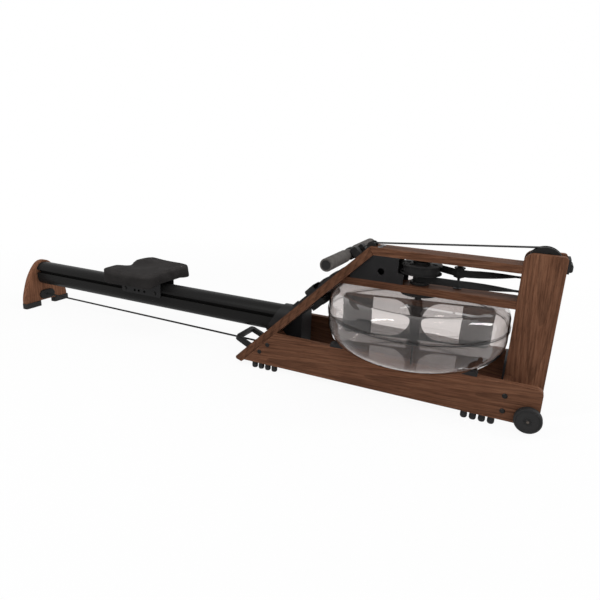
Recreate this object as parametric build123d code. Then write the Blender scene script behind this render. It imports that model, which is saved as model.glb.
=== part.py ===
from build123d import *
import os
from math import asin, atan2, cos, degrees, hypot, radians, sin, tan

# Rowing machine with a water tank, in millimetres.
# +X points to the tank end, +Z up; the origin is on the floor below the middle.

# Overall sizes
LENGTH = 2110.0
TANK_R = 277.0
TANK_H = 174.0
BASE_W = 283.0
SPINE_W = 79.0
FOOT_SLOPE = 45.0

# Clearances
RUN = 0.05
SIDE = 0.4
EASY = 0.3
BOLT_FIT = 0.1

# Wooden frame
FLOOR_GAP = 20.7
BASE_H = 113.7
BOARD_T = 21.0
FOOT_T = 27.0
DECK_T = 23.4
SPOOL_ROOM = 80.9
TANK_LIFT = 3.6
TANK_TOP_GAP = 6.0
TANK_FOOT_GAP = 1.5
UPRIGHT_W = 110.0
UPRIGHT_OVER = 35.3
UPRIGHT_FOOT = 25.0
BEAM_T = 22.0
BEAM_H = 90.0
BEAM_LIFT = 28.0
CLEAT_T = 27.0
CLEAT_GAP = 3.7
FOOT_END = 12.0
FOOT_TOE = 26.0
EDGE_R = 1.5

# Tank shells and paddle
TANK_WALL = 4.0
TANK_LOW_R = 70.0
TANK_HIGH_R = 40.0
SEAM_PROUD = 3.0
SEAM_UP = 107.0
FLANGE_H = 4.5
GASKET_T = 1.5
SHAFT_R = 10.0
HOUSING_R = 25.0
PADDLE_GAP = 40.0
PADDLE_T = 4.0
PADDLE_TURN = 24.0
PANEL_W = 95.0
HUB_R = 15.0
WEB_H = 5.0

# Straps, drum and pulleys
STRAP_W = 22.0
STRAP_T = 2.4
DRUM_R = 55.0
DRUM_FLANGE_R = 63.0
RECOIL_R = 20.0
IDLER_R = 13.5
IDLER_AHEAD = 112.0
PULLEY_R = 45.0
PULLEY_FLANGE = 4.0
RECOIL_PULLEY_R = 22.0
AXLE_R = 6.0
PULLEY_BACK = 57.0
LOW_RUN_Z = 36.0
CORD_R = 3.0

# Rail, leg and seat
RAIL_W = 74.0
RAIL_H = 98.0
RAIL_R = 34.0
RAIL_Z = 147.0
SLOT_H = 13.0
SLOT_UP = 13.5
CHANNEL_H = 30.0
CHANNEL_D = 14.0
LIP_T = 3.0
SOCKET_T = 5.0
SOCKET_LEAN = 59.0
BRACKET_WALL = 4.0
LEG_T = 22.0
LEG_TOP = 203.5
LEG_HALF = 107.0
LEG_FOOT_H = 22.0
SEAT_L = 228.0
SEAT_W = 282.0
SEAT_BOTTOM = 210.0
SEAT_EDGE = 43.0
SEAT_REACH = 599.0
CARRIAGE_L = 195.0
CARRIAGE_T = 3.0
ROLLER_W = 10.0
ROLLER_AXLE_R = 4.0

# Handle, foot units and wheels
HANDLE_DOWN = 75.0
HANDLE_OFF = 26.4
HANDLE_HALF = 215.0
GRIP_R = 17.0
BAR_R = 12.0
CLAMP_R = 20.0
CLAMP_W = 30.0
GUIDE_R = 7.0
REST_H = 31.0
REST_L = 24.4
GRAB_HALF = 57.0
GRAB_REACH = 68.0
GRAB_W = 16.0
WHEEL_R = 37.0
WHEEL_W = 20.0
BUMPER_PROUD = 14.0

# Places that follow from the sizes above
HALF_W = BASE_W / 2
HALF_SPINE = SPINE_W / 2
UP_FRONT = LENGTH / 2 - BUMPER_PROUD
UP_REAR = UP_FRONT - UPRIGHT_W
BASE_FRONT = UP_FRONT - 4.0
BASE_TOP = FLOOR_GAP + BASE_H
TANK_X = UP_REAR - TANK_R - SEAM_PROUD - 3.0
PADDLE_R = TANK_R - TANK_WALL - PADDLE_GAP
TANK_Z0 = BASE_TOP + TANK_LIFT
TANK_Z1 = TANK_Z0 + TANK_H
SEAM_Z = TANK_Z0 + SEAM_UP
MID_Z0 = TANK_Z1 + TANK_TOP_GAP
MID_Z1 = MID_Z0 + DECK_T
TOP_Z0 = MID_Z1 + SPOOL_ROOM
TOP_Z1 = TOP_Z0 + DECK_T
UP_TOP = TOP_Z1 + UPRIGHT_OVER
UP_IN = HALF_SPINE - BOARD_T
LEG_BACK = -LENGTH / 2
LEG_FRONT = LEG_BACK + LEG_T
BRACKET_HALF = RAIL_W / 2 + EASY + BRACKET_WALL

# The slope just clears the tank's upper rim. Its local X runs up the footboard,
# its local Z away from the underside.
SLOPE_S = sin(radians(FOOT_SLOPE))
SLOPE_C = cos(radians(FOOT_SLOPE))
RIM_X = TANK_X - TANK_R + TANK_HIGH_R
RIM_Z = TANK_Z1 - TANK_HIGH_R
BASE_REAR = RIM_X - (TANK_HIGH_R + TANK_FOOT_GAP + (RIM_Z - FLOOR_GAP) * SLOPE_C) / SLOPE_S
SLOPE = Plane(origin=(BASE_REAR, 0, FLOOR_GAP), x_dir=(SLOPE_C, 0, SLOPE_S), z_dir=(-SLOPE_S, 0, SLOPE_C))
FACE_SHIFT = FOOT_T / SLOPE_S
CORNER_X = BASE_REAR - FACE_SHIFT + (TOP_Z1 - FLOOR_GAP) / tan(radians(FOOT_SLOPE))
CORNER_S = (TOP_Z1 - FLOOR_GAP - FOOT_T * SLOPE_C) / SLOPE_S
SLOPE_LEN = (TOP_Z1 - FLOOR_GAP) / SLOPE_S

# Strap lines
LIFT = EASY + STRAP_T / 2
PULLEY_X = UP_FRONT - PULLEY_BACK
PULLEY_Z = TOP_Z0 + 27.7
PULLEY_LINE = PULLEY_R + LIFT
DRUM_LINE = DRUM_R + LIFT
RECOIL_LINE = RECOIL_R + LIFT
IDLER_LINE = IDLER_R + LIFT
RECOIL_PULLEY_LINE = RECOIL_PULLEY_R + LIFT
GUIDE_LINE = GUIDE_R + LIFT
DRUM_Z = MID_Z1 + 51.6
RECOIL_Z = MID_Z1 + 22.6
RECOIL_RUN_Z = MID_Z1 + 20.6
RECOIL_TOP_Z = RECOIL_RUN_Z - RECOIL_PULLEY_LINE
RECOIL_LOW_Z = LOW_RUN_Z + RECOIL_PULLEY_LINE
IDLER_X = TANK_X + IDLER_AHEAD
IDLER_Y = IDLER_LINE
HANDLE_X = CORNER_X - HANDLE_DOWN * SLOPE_C - HANDLE_OFF * SLOPE_S
HANDLE_Z = TOP_Z1 - HANDLE_DOWN * SLOPE_S + HANDLE_OFF * SLOPE_C
COUPLER_X = TANK_X - 327.0
ANCHOR_Z = 48.0
ROLLER_Z = RAIL_Z + SLOT_UP
ROLLER_R = CHANNEL_H / 2 - EASY
SEAT_X = LEG_FRONT + SEAT_REACH

os.makedirs("parts", exist_ok=True)


def save(name, shape):
    export_step(shape, "parts/" + name + ".step")


def group(*solids):
    return Compound(children=list(solids))


def block(x0, x1, y0, y1, z0, z1):
    return Pos((x0 + x1) / 2, (y0 + y1) / 2, (z0 + z1) / 2) * Box(x1 - x0, y1 - y0, z1 - z0)


def bar_x(r, x0, x1, y, z):
    return Pos((x0 + x1) / 2, y, z) * Rot(0, 90, 0) * Cylinder(r, x1 - x0)


def bar_y(r, x, y0, y1, z):
    return Pos(x, (y0 + y1) / 2, z) * Rot(90, 0, 0) * Cylinder(r, y1 - y0)


def bar_z(r, x, y, z0, z1):
    return Pos(x, y, (z0 + z1) / 2) * Cylinder(r, z1 - z0)


def rounded(points):
    """A flat outline; a point with a third value has its corner rounded by it."""
    face = Polygon(*[(p[0], p[1]) for p in points], align=None)
    for p in points:
        if len(p) > 2:
            corner = face.vertices().sort_by_distance((p[0], p[1], 0))[0]
            face = fillet(corner, p[2])
    return face


def side_slab(face, y0, y1):
    """Extrudes a face drawn in X and Z from y0 to y1."""
    plane = Plane(origin=(0, y1, 0), x_dir=(1, 0, 0), z_dir=(0, -1, 0))
    return extrude(plane * face, y1 - y0)


def end_slab(face, x0, x1):
    """Extrudes a face drawn in Y and Z from x0 to x1."""
    plane = Plane(origin=(x0, 0, 0), x_dir=(0, 1, 0), z_dir=(1, 0, 0))
    return extrude(plane * face, x1 - x0)


def turned(points, x=0.0, y=0.0):
    """Turns an outline of radius and height about an upright axis."""
    face = Plane.XZ * rounded(points)
    return Pos(x, y, 0) * revolve(face, Axis.Z)


def turned_y(points, x, z):
    """Turns an outline of radius and height about an axis along Y."""
    return Pos(x, 0, z) * Rot(90, 0, 0) * revolve(Plane.XZ * rounded(points), Axis.Z)


def line_band(p, q, t):
    """A straight length of band seen from its edge."""
    u = (q[0] - p[0], q[1] - p[1])
    k = t / 2 / hypot(*u)
    n = (-u[1] * k, u[0] * k)
    return Polygon(
        (p[0] - n[0], p[1] - n[1]),
        (q[0] - n[0], q[1] - n[1]),
        (q[0] + n[0], q[1] + n[1]),
        (p[0] + n[0], p[1] + n[1]),
        align=None,
    )


def arc_band(c, r, start, sweep, t):
    """A length of band bent round a pulley, seen from its edge."""
    outer = CenterArc(c, r + t / 2, start, sweep)
    inner = CenterArc(c, r - t / 2, start, sweep)
    return make_face([outer, Line(outer @ 1, inner @ 1), inner, Line(inner @ 0, outer @ 0)])


def twist(start, stop, from_deg, to_deg, steps=4):
    """A length of band along X that turns about its own line."""
    faces = []
    for i in range(steps + 1):
        k = i / steps
        at = [a + (b - a) * k for a, b in zip(start, stop)]
        turn = radians(from_deg + (to_deg - from_deg) * k)
        plane = Plane(origin=tuple(at), x_dir=(0, cos(turn), sin(turn)), z_dir=(1, 0, 0))
        faces.append(plane * Rectangle(STRAP_W, STRAP_T))
    return loft(faces, ruled=True)


def both_sides(make):
    """The near piece, at negative Y, and its mirror image."""
    far = make()
    return mirror(far, Plane.XZ), far


# Base boards, beam, cleats

SLOPE_BOLTS = [SLOPE.from_local_coords((s, 0, -CLEAT_T / 2)) for s in (74.0, 116.6)]
FRONT_BOLTS = [Vector(UP_REAR + BEAM_T / 2, 0, z) for z in (49.8, 95.6)]
BASE_BOLTS = [*SLOPE_BOLTS, *FRONT_BOLTS]
BOLT_R = 4.0
BOLT_LEN = 46.0
WHEEL_X = UP_FRONT - 31.5
WHEEL_Z = 45.0
WHEEL_BOLT_R = 5.0


def base_board():
    rear_top = BASE_REAR + BASE_H / tan(radians(FOOT_SLOPE))
    outline = [
        (BASE_REAR, FLOOR_GAP),
        (BASE_FRONT, FLOOR_GAP, 6.0),
        (BASE_FRONT, BASE_TOP, 18.0),
        (rear_top, BASE_TOP),
    ]
    board = side_slab(rounded(outline), HALF_W - BOARD_T, HALF_W)
    outer = board.faces().sort_by(Axis.Y)[-1]
    board = fillet(outer.edges(), EDGE_R)
    for p in BASE_BOLTS:
        board -= bar_y(BOLT_R + BOLT_FIT, p.X, HALF_W - BOARD_T - 1, HALF_W + 1, p.Z)
    return board - bar_y(WHEEL_BOLT_R + BOLT_FIT, WHEEL_X, HALF_W - BOARD_T - 1, HALF_W + 1, WHEEL_Z)


def cross_beam():
    inside = HALF_W - BOARD_T
    beam = block(UP_REAR, UP_REAR + BEAM_T, -inside, inside, BEAM_LIFT, BEAM_LIFT + BEAM_H)
    arch = rounded([
        (-22.0, BEAM_LIFT - 1),
        (22.0, BEAM_LIFT - 1),
        (22.0, LOW_RUN_Z + 20, 8.0),
        (-22.0, LOW_RUN_Z + 20, 8.0),
    ])
    beam -= end_slab(arch, UP_REAR - 1, UP_REAR + BEAM_T + 1)
    for p in FRONT_BOLTS:
        for side in (-1, 1):
            y = side * (HALF_W - (BOLT_LEN + 1) / 2)
            beam -= bar_y(BOLT_R + BOLT_FIT, p.X, y - BOLT_LEN / 2 - 0.5, y + BOLT_LEN / 2 + 0.5, p.Z)
    return beam


TIE_T = 6.0
TIE_TOP = 165.0


def tie_plate():
    plate = block(UP_REAR - TIE_T, UP_REAR, -60, 60, LOW_RUN_Z + 26, TIE_TOP)
    plate = fillet(plate.edges().filter_by(Axis.X), 6.0)
    return plate


def cleat():
    inside = BRACKET_HALF + CLEAT_GAP
    width = HALF_W - BOARD_T - inside
    part = SLOPE * Pos(83.5, inside + width / 2, -CLEAT_T / 2) * Box(113.0, width, CLEAT_T)
    for p in SLOPE_BOLTS:
        part -= bar_y(BOLT_R + BOLT_FIT, p.X, HALF_W - BOLT_LEN - 1, HALF_W + 1, p.Z)
    return part


def bolt(r, length, head_r, head_h):
    """A button-head bolt, its head on the +Y side of the origin."""
    return turned_y([
        (0, -head_h), (head_r * 0.7, -head_h, 1.0), (head_r, -head_h * 0.35, 1.0),
        (head_r, 0), (r, 0), (r, length), (0, length),
    ], 0, 0)


# Footboard, decks and uprights

RAIL_TOP_S = (RAIL_Z + RAIL_H / 2 + SOCKET_T - FLOOR_GAP - FOOT_T * SLOPE_C) / SLOPE_S
STRAP_S = RAIL_TOP_S + 106.0
STRAP_BAND = 38.0
STRAP_LOOP_T = 2.5
LOOP_IN = 10.0
LOOP_EDGE = 6.0
LOOP_UNDER = 20.0
LOOP_OVER = 22.0
LOOP_R = 12.0
NOTCH_HALF = 14.0
RAIL_GAP = 0.5


def rail_outline(grow):
    return Pos(0, RAIL_Z) * RectangleRounded(RAIL_W + 2 * grow, RAIL_H + 2 * grow, RAIL_R + grow)


def half_width_at(s):
    return HALF_W - (HALF_W - HALF_SPINE) * s / SLOPE_LEN


LOOP_OUT = half_width_at(STRAP_S + STRAP_BAND / 2) - LOOP_EDGE
LOOP_Y = (LOOP_IN + LOOP_OUT) / 2


def foot_loop(grow):
    """A foot strap's loop through the board, on the far side."""
    width = LOOP_OUT - LOOP_IN
    height = LOOP_UNDER + FOOT_T + LOOP_OVER
    outer = RectangleRounded(width + 2 * grow, height + 2 * grow, LOOP_R + grow)
    thin = STRAP_LOOP_T + grow
    inner = RectangleRounded(width - 2 * thin, height - 2 * thin, LOOP_R - thin)
    plane = Plane(origin=(0, 0, 0), x_dir=(0, 1, 0), z_dir=(1, 0, 0))
    middle = (FOOT_T + LOOP_OVER - LOOP_UNDER) / 2
    face = plane * (outer - inner)
    long = STRAP_BAND + 2 * grow
    return SLOPE * Pos(STRAP_S - long / 2, LOOP_Y, middle) * extrude(face, long)


def footboard():
    inner_x = BASE_REAR + (TOP_Z0 - FLOOR_GAP) / tan(radians(FOOT_SLOPE))
    under = SLOPE.from_local_coords((-FOOT_END, 0, 0))
    toe = SLOPE.from_local_coords((-FOOT_TOE, 0, FOOT_T))
    profile = [(under.X, under.Z, 4.0), (inner_x, TOP_Z0), (CORNER_X, TOP_Z1), (toe.X, toe.Z, 7.0)]
    board = side_slab(rounded(profile), -HALF_W, HALF_W)
    low = -60.0
    plan = Polygon(
        (low, -half_width_at(0)), (0, -half_width_at(0)), (SLOPE_LEN + 60, -half_width_at(SLOPE_LEN + 60)),
        (SLOPE_LEN + 60, half_width_at(SLOPE_LEN + 60)), (0, half_width_at(0)), (low, half_width_at(0)),
        align=None,
    )
    board &= SLOPE * Pos(0, 0, -50) * extrude(plan, 150)
    notch = rounded([
        (low, -NOTCH_HALF), (52.0, -NOTCH_HALF, 13.0), (52.0, NOTCH_HALF, 13.0), (low, NOTCH_HALF),
    ])
    board -= SLOPE * Pos(0, 0, -50) * extrude(notch, 150)
    board -= end_slab(rail_outline(RAIL_GAP), BASE_REAR - 100, BASE_REAR + 300)
    for side in (-1, 1):
        loop = foot_loop(RAIL_GAP)
        board -= loop if side > 0 else mirror(loop, Plane.XZ)
    return board


def top_deck():
    inner_x = BASE_REAR + (TOP_Z0 - FLOOR_GAP) / tan(radians(FOOT_SLOPE))
    outline = [(inner_x, TOP_Z0), (UP_REAR, TOP_Z0), (UP_REAR, TOP_Z1), (CORNER_X, TOP_Z1)]
    return side_slab(rounded(outline), -HALF_SPINE, HALF_SPINE)


def mid_deck():
    run = tan(radians(FOOT_SLOPE))
    outline = [
        (BASE_REAR + (MID_Z0 - FLOOR_GAP) / run, MID_Z0), (UP_REAR, MID_Z0),
        (UP_REAR, MID_Z1), (BASE_REAR + (MID_Z1 - FLOOR_GAP) / run, MID_Z1),
    ]
    board = side_slab(rounded(outline), -HALF_SPINE, HALF_SPINE)
    return board - bar_z(HOUSING_R + BOLT_FIT, TANK_X, 0, MID_Z0 - 1, MID_Z1 + 1)


AXLE_HEIGHTS = (PULLEY_Z, RECOIL_TOP_Z, RECOIL_LOW_Z)
AXLE_SEAT = 14.0


def upright():
    outline = [
        (UP_REAR, UPRIGHT_FOOT), (UP_FRONT, UPRIGHT_FOOT, 6.0),
        (UP_FRONT, UP_TOP, 10.0), (UP_REAR, UP_TOP, 26.0),
    ]
    board = side_slab(rounded(outline), UP_IN, HALF_SPINE)
    outer = board.faces().sort_by(Axis.Y)[-1]
    board = fillet(outer.edges(), EDGE_R)
    board -= block(UP_REAR - 1, UP_REAR + BEAM_T, UP_IN - 1, HALF_SPINE + 1, 0, BEAM_LIFT + BEAM_H)
    for z in AXLE_HEIGHTS:
        board -= bar_y(AXLE_R + BOLT_FIT, PULLEY_X, UP_IN - 1, UP_IN + AXLE_SEAT, z)
    return board


def gusset():
    run = tan(radians(FOOT_SLOPE))
    rear = BASE_REAR + (MID_Z1 - FLOOR_GAP) / run + RAIL_GAP
    step = 9.5
    front = TANK_X - DRUM_FLANGE_R
    plate = side_slab(rounded([
        (rear + step / run, MID_Z1), (front, MID_Z1), (front, TOP_Z0),
        (rear + (TOP_Z0 - MID_Z1) / run, TOP_Z0), (rear + step / run, MID_Z1 + step),
    ]), HALF_SPINE - 6.0, HALF_SPINE)
    hole_x = front - 53.0
    hole_z = MID_Z1 + 32.0
    plate -= bar_y(11.0, hole_x, HALF_SPINE - 10, HALF_SPINE + 10, hole_z)
    clip = block(front, front + 18, HALF_SPINE - 6, HALF_SPINE, MID_Z1, MID_Z1 + 34)
    return plate + fillet(clip.edges().filter_by(Axis.Y).sort_by(Axis.Z)[-1], 7.0)


# Rail, socket, bracket and rear leg

BRACKET_FRONT = BASE_REAR + 171.0
RAIL_FRONT = BRACKET_FRONT - 18.0
SOCKET_REAR = BASE_REAR + 22.6


def board_side(n0, n1):
    """A thick slab over the slope between two distances from its underside."""
    return SLOPE * Pos(0, 0, (n0 + n1) / 2) * Box(1600, 600, n1 - n0)


def monorail():
    face = rail_outline(0)
    low = Pos(0, RAIL_Z - 26.0) * RectangleRounded(RAIL_W - 12, RAIL_H - 62, 17.0)
    core = Pos(0, ROLLER_Z) * RectangleRounded(2 * (RAIL_W / 2 - LIP_T - CHANNEL_D) - 8, 24.0, 4.0)
    face = face - low - core
    for side in (-1, 1):
        mid = side * (RAIL_W / 2 - LIP_T - CHANNEL_D / 2)
        face -= Pos(mid, ROLLER_Z) * Rectangle(CHANNEL_D, CHANNEL_H)
        face -= Pos(side * RAIL_W / 2, ROLLER_Z) * Rectangle(4 * LIP_T, SLOT_H)
    return end_slab(face, LEG_FRONT, RAIL_FRONT)


def rail_socket():
    ring = rail_outline(SOCKET_T) - rail_outline(EASY)
    collar = end_slab(ring, SOCKET_REAR - 40, RAIL_FRONT)
    lean = radians(SOCKET_LEAN)
    rim = Plane(
        origin=(SOCKET_REAR, 0, RAIL_Z - RAIL_H / 2),
        x_dir=(cos(lean), 0, sin(lean)),
        z_dir=(-sin(lean), 0, cos(lean)),
    )
    collar -= rim * Pos(0, 0, 150) * Box(900, 400, 300)
    return collar & board_side(FOOT_T, 400)


def rail_bracket():
    half = BRACKET_HALF
    z0 = RAIL_Z - RAIL_H / 2 - 34.0
    z1 = RAIL_Z + RAIL_H / 2 + 6.0
    shell = block(BASE_REAR - 50, BRACKET_FRONT, -half, half, z0, z1)
    inner = half - BRACKET_WALL
    shell -= block(BASE_REAR - 60, BRACKET_FRONT - 6, -inner, inner, z0 + 5, z1 - 5)
    shell &= board_side(-400, 0)
    flange = SLOPE * Pos(190.0, 0, -2.5) * Box(130.0, 2 * half, 5.0)
    flange -= block(BASE_REAR - 60, BRACKET_FRONT - 6, -inner, inner, z0 + 5, z1 - 5)
    flange -= end_slab(rail_outline(EASY), BASE_REAR - 60, BASE_REAR + 400)
    return shell + (flange & block(BASE_REAR, BRACKET_FRONT + 60, -half, half, z0, z1 + 60))


def rear_leg():
    rise = LEG_TOP - LEG_FOOT_H
    half = [(1.0, 0.0), (0.972, 0.17), (0.89, 0.34), (0.72, 0.60), (0.43, 0.86), (0.16, 0.985)]
    right = [(LEG_HALF * a, LEG_FOOT_H + rise * b) for a, b in half]
    left = [(-y, z) for y, z in reversed(right)]
    edge = Spline(*right, (0, LEG_TOP), *left)
    board = end_slab(make_face([edge, Line(left[-1], right[0])]), LEG_BACK, LEG_FRONT)
    back = board.faces().sort_by(Axis.X)[0]
    board = fillet(back.edges(), EDGE_R)
    for z in LEG_BOLT_Z:
        board -= bar_x(BOLT_R + BOLT_FIT, LEG_BACK - 1, LEG_FRONT + 1, 0, z)
        board -= bar_x(8.2, LEG_BACK - 1, LEG_BACK + 6, 0, z)
    return board


LEG_BOLT_Z = (RAIL_Z - 45.5, RAIL_Z + 39.0)


def bungee_anchor():
    cup = end_slab(Pos(0, ANCHOR_Z) * SlotOverall(72, 40), LEG_FRONT, LEG_FRONT + 12)
    cup = fillet(cup.faces().sort_by(Axis.X)[-1].edges(), 4.0)
    return cup - bar_x(CORD_R + EASY, LEG_FRONT + 4, LEG_FRONT + 30, 0, ANCHOR_Z)


def grab_handle():
    root = SLOPE.from_local_coords((-5.0, 0, FOOT_T))
    rise = radians(23.0)
    reach = Vector(-cos(rise), 0, sin(rise))
    plane = Plane(origin=root - reach * 30, x_dir=(0, 1, 0), z_dir=reach.cross(Vector(0, -1, 0)))
    tip = 30 + GRAB_REACH
    wide = GRAB_HALF + 3
    outer = rounded([(-wide - 6, 0), (-wide, tip, 16.0), (wide, tip, 16.0), (wide + 6, 0)])
    slim = GRAB_HALF - 4
    inner = rounded([(-slim - 2, -1), (-slim, tip - 7, 10.0), (slim, tip - 7, 10.0), (slim + 2, -1)])
    loop = extrude(plane * (outer - inner), GRAB_W / 2, both=True)
    return loop & board_side(FOOT_T, 400)


# Tank, paddle and bearings

def tank_profile(inset):
    r = TANK_R - inset
    return [
        (0, TANK_Z0 + inset), (r, TANK_Z0 + inset, TANK_LOW_R - inset),
        (r, TANK_Z1 - inset, TANK_HIGH_R - inset), (0, TANK_Z1 - inset),
    ]


def tank_shell():
    return turned(tank_profile(0), TANK_X) - turned(tank_profile(TANK_WALL), TANK_X)


def seam_ring(z0, z1, extra):
    outer = bar_z(TANK_R + extra, TANK_X, 0, z0, z1)
    return outer - bar_z(TANK_R - TANK_WALL, TANK_X, 0, z0 - 1, z1 + 1)


def tank_lower():
    top = SEAM_Z - GASKET_T / 2
    shell = tank_shell() & block(TANK_X - 400, TANK_X + 400, -400, 400, 0, top)
    shell += seam_ring(top - FLANGE_H, top, SEAM_PROUD)
    boss = bar_z(SHAFT_R + 12, TANK_X, 0, TANK_Z0 + 1, TANK_Z0 + 18)
    shell += boss
    return shell - bar_z(SHAFT_R + RUN, TANK_X, 0, TANK_Z0 + TANK_WALL, TANK_Z0 + 40)


def tank_upper():
    low = SEAM_Z + GASKET_T / 2
    shell = tank_shell() & block(TANK_X - 400, TANK_X + 400, -400, 400, low, 900)
    shell += seam_ring(low, low + FLANGE_H, SEAM_PROUD)
    return shell - bar_z(HOUSING_R + BOLT_FIT, TANK_X, 0, TANK_Z1 - 30, TANK_Z1 + 1)


def tank_gasket():
    return seam_ring(SEAM_Z - GASKET_T / 2, SEAM_Z + GASKET_T / 2, SEAM_PROUD - 0.5)


def tank_pads():
    pads = []
    tank = turned([(p[0], *p[1:]) for p in tank_profile(-EASY)], TANK_X)
    for ahead in (-218.0, 202.0):
        x = TANK_X + ahead * TANK_R / 277.0
        for side in (-1, 1):
            y = side * (HALF_W - BOARD_T / 2)
            pad = block(x - 12.5, x + 30, y - BOARD_T / 2, y + BOARD_T / 2, BASE_TOP, BASE_TOP + 12)
            if ahead > 0:
                pad = mirror(pad, Plane.YZ.offset(x))
            pad -= tank
            pads.append(pad.solids().sort_by(Axis.Z)[0])
    return group(*pads)


def housing():
    z0 = TANK_Z1 - TANK_WALL - 4.0
    low = turned([
        (SHAFT_R + RUN, z0), (HOUSING_R, z0), (HOUSING_R, TANK_Z1), (56.0, TANK_Z1),
        (56.0, MID_Z0), (HOUSING_R, MID_Z0), (HOUSING_R, MID_Z1 + 2.6), (SHAFT_R + RUN, MID_Z1 + 2.6),
    ], TANK_X)
    high = turned([
        (SHAFT_R + RUN, TOP_Z0 - 7), (16.0, TOP_Z0 - 7), (24.0, TOP_Z0 - 3), (24.0, TOP_Z0),
        (SHAFT_R + RUN, TOP_Z0),
    ], TANK_X)
    return group(low, high)


def paddle():
    """Four panels held off the hub by slim webs, which leave a round-ended window in each blade."""
    low = TANK_Z0 + 20
    high = TANK_Z1 - 24
    middle = (low + high) / 2
    round_r = (high - low) / 2 - WEB_H
    round_x = HUB_R + 3 + round_r
    panel = PADDLE_R - PANEL_W
    blade = rounded([(0, low), (PADDLE_R, low, 24.0), (PADDLE_R, high, 14.0), (0, high)])
    arc = CenterArc((round_x, middle), round_r, 90, 180)
    top = Line((panel, middle + round_r), arc @ 0)
    bottom = Line(arc @ 1, (panel, middle - round_r))
    blade -= make_face([top, arc, bottom, Line(bottom @ 1, top @ 0)])
    plate = side_slab(blade, -PADDLE_T / 2, PADDLE_T / 2)
    wheel = bar_z(HUB_R, 0, 0, low, high)
    for k in range(4):
        wheel += Rot(0, 0, PADDLE_TURN + 90 * k) * plate
    shaft = bar_z(SHAFT_R, TANK_X, 0, TANK_Z0 + TANK_WALL + SIDE, TOP_Z0 - SIDE)
    return shaft + Pos(TANK_X, 0, 0) * wheel


# Drum, idler and pulleys

def drive_drum():
    half = STRAP_W / 2 + 0.8
    low = DRUM_Z - half
    high = DRUM_Z + half
    bottom = MID_Z1 + 3.2
    recoil_low = RECOIL_Z - half
    drum = turned([
        (SHAFT_R + RUN, bottom), (30.0, bottom), (30.0, recoil_low), (RECOIL_R, recoil_low),
        (RECOIL_R, low - 3.5), (DRUM_FLANGE_R, low - 3.5, 1.2), (DRUM_FLANGE_R, low), (DRUM_R, low),
        (DRUM_R, high), (DRUM_FLANGE_R, high), (DRUM_FLANGE_R, high + 3.5, 1.2), (26.0, high + 3.5),
        (26.0, TOP_Z0 - 7 - SIDE), (SHAFT_R + RUN, TOP_Z0 - 7 - SIDE),
    ], TANK_X)
    for k in range(6):
        spot = Pos(TANK_X, 0, 0) * Rot(0, 0, 60 * k) * Pos(40.0, 0, DRUM_Z)
        drum -= spot * Cylinder(9.0, 80)
    return drum


IDLER_LOW = DRUM_Z - STRAP_W / 2 - 4.0
IDLER_HIGH = DRUM_Z + STRAP_W / 2 + 4.0
IDLER_PIN_R = 4.0


def idler_roller():
    half = STRAP_W / 2 + 0.8
    return turned([
        (IDLER_PIN_R + RUN, IDLER_LOW), (IDLER_R + 3, IDLER_LOW, 1.0), (IDLER_R + 3, DRUM_Z - half),
        (IDLER_R, DRUM_Z - half), (IDLER_R, DRUM_Z + half), (IDLER_R + 3, DRUM_Z + half),
        (IDLER_R + 3, IDLER_HIGH, 1.0), (IDLER_PIN_R + RUN, IDLER_HIGH),
    ], IDLER_X, IDLER_Y)


def idler_bracket():
    under = IDLER_LOW - SIDE
    over = IDLER_HIGH + SIDE
    return turned([
        (0, MID_Z1), (13.0, MID_Z1), (13.0, MID_Z1 + 3), (IDLER_PIN_R, MID_Z1 + 3), (IDLER_PIN_R, under - 3),
        (8.0, under - 3), (8.0, under), (IDLER_PIN_R, under), (IDLER_PIN_R, over), (8.0, over),
        (8.0, over + 3), (IDLER_PIN_R, over + 3), (IDLER_PIN_R, TOP_Z0), (0, TOP_Z0),
    ], IDLER_X, IDLER_Y)


def flat_pulley(r, z):
    """A flanged pulley for the strap between the uprights."""
    half = STRAP_W / 2 + 0.8
    wide = UP_IN - SIDE - 1.5
    rim = r + PULLEY_FLANGE
    pulley = turned_y([
        (AXLE_R + RUN, -UP_IN + SIDE), (AXLE_R + 4, -UP_IN + SIDE), (AXLE_R + 4, -wide), (rim, -wide, 1.0),
        (rim, -half), (r, -half), (r, half), (rim, half), (rim, wide, 1.0), (AXLE_R + 4, wide),
        (AXLE_R + 4, UP_IN - SIDE), (AXLE_R + RUN, UP_IN - SIDE),
    ], PULLEY_X, z)
    if r > 30:
        for k in range(5):
            spot = Pos(PULLEY_X, 0, z) * Rot(0, 72 * k, 0) * Pos(26.0, 0, 0) * Rot(90, 0, 0)
            pulley -= spot * Cylinder(8.5, 80)
    return pulley


def pulley_axles():
    half = UP_IN + AXLE_SEAT
    return group(*[bar_y(AXLE_R, PULLEY_X, -half, half, z) for z in AXLE_HEIGHTS])


# Straps, coupler and shock cord

def handle_line():
    """Heading of the strap from the handle to the guide, and its tangent point."""
    dx = CORNER_X - HANDLE_X
    dz = TOP_Z1 - HANDLE_Z
    far = hypot(dx, dz)
    head = atan2(dz, dx) + asin(GUIDE_LINE / far)
    return head, (CORNER_X - GUIDE_LINE * sin(head), TOP_Z1 + GUIDE_LINE * cos(head))


HANDLE_HEAD, GUIDE_IN = handle_line()
TONGUE = 30.0


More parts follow.
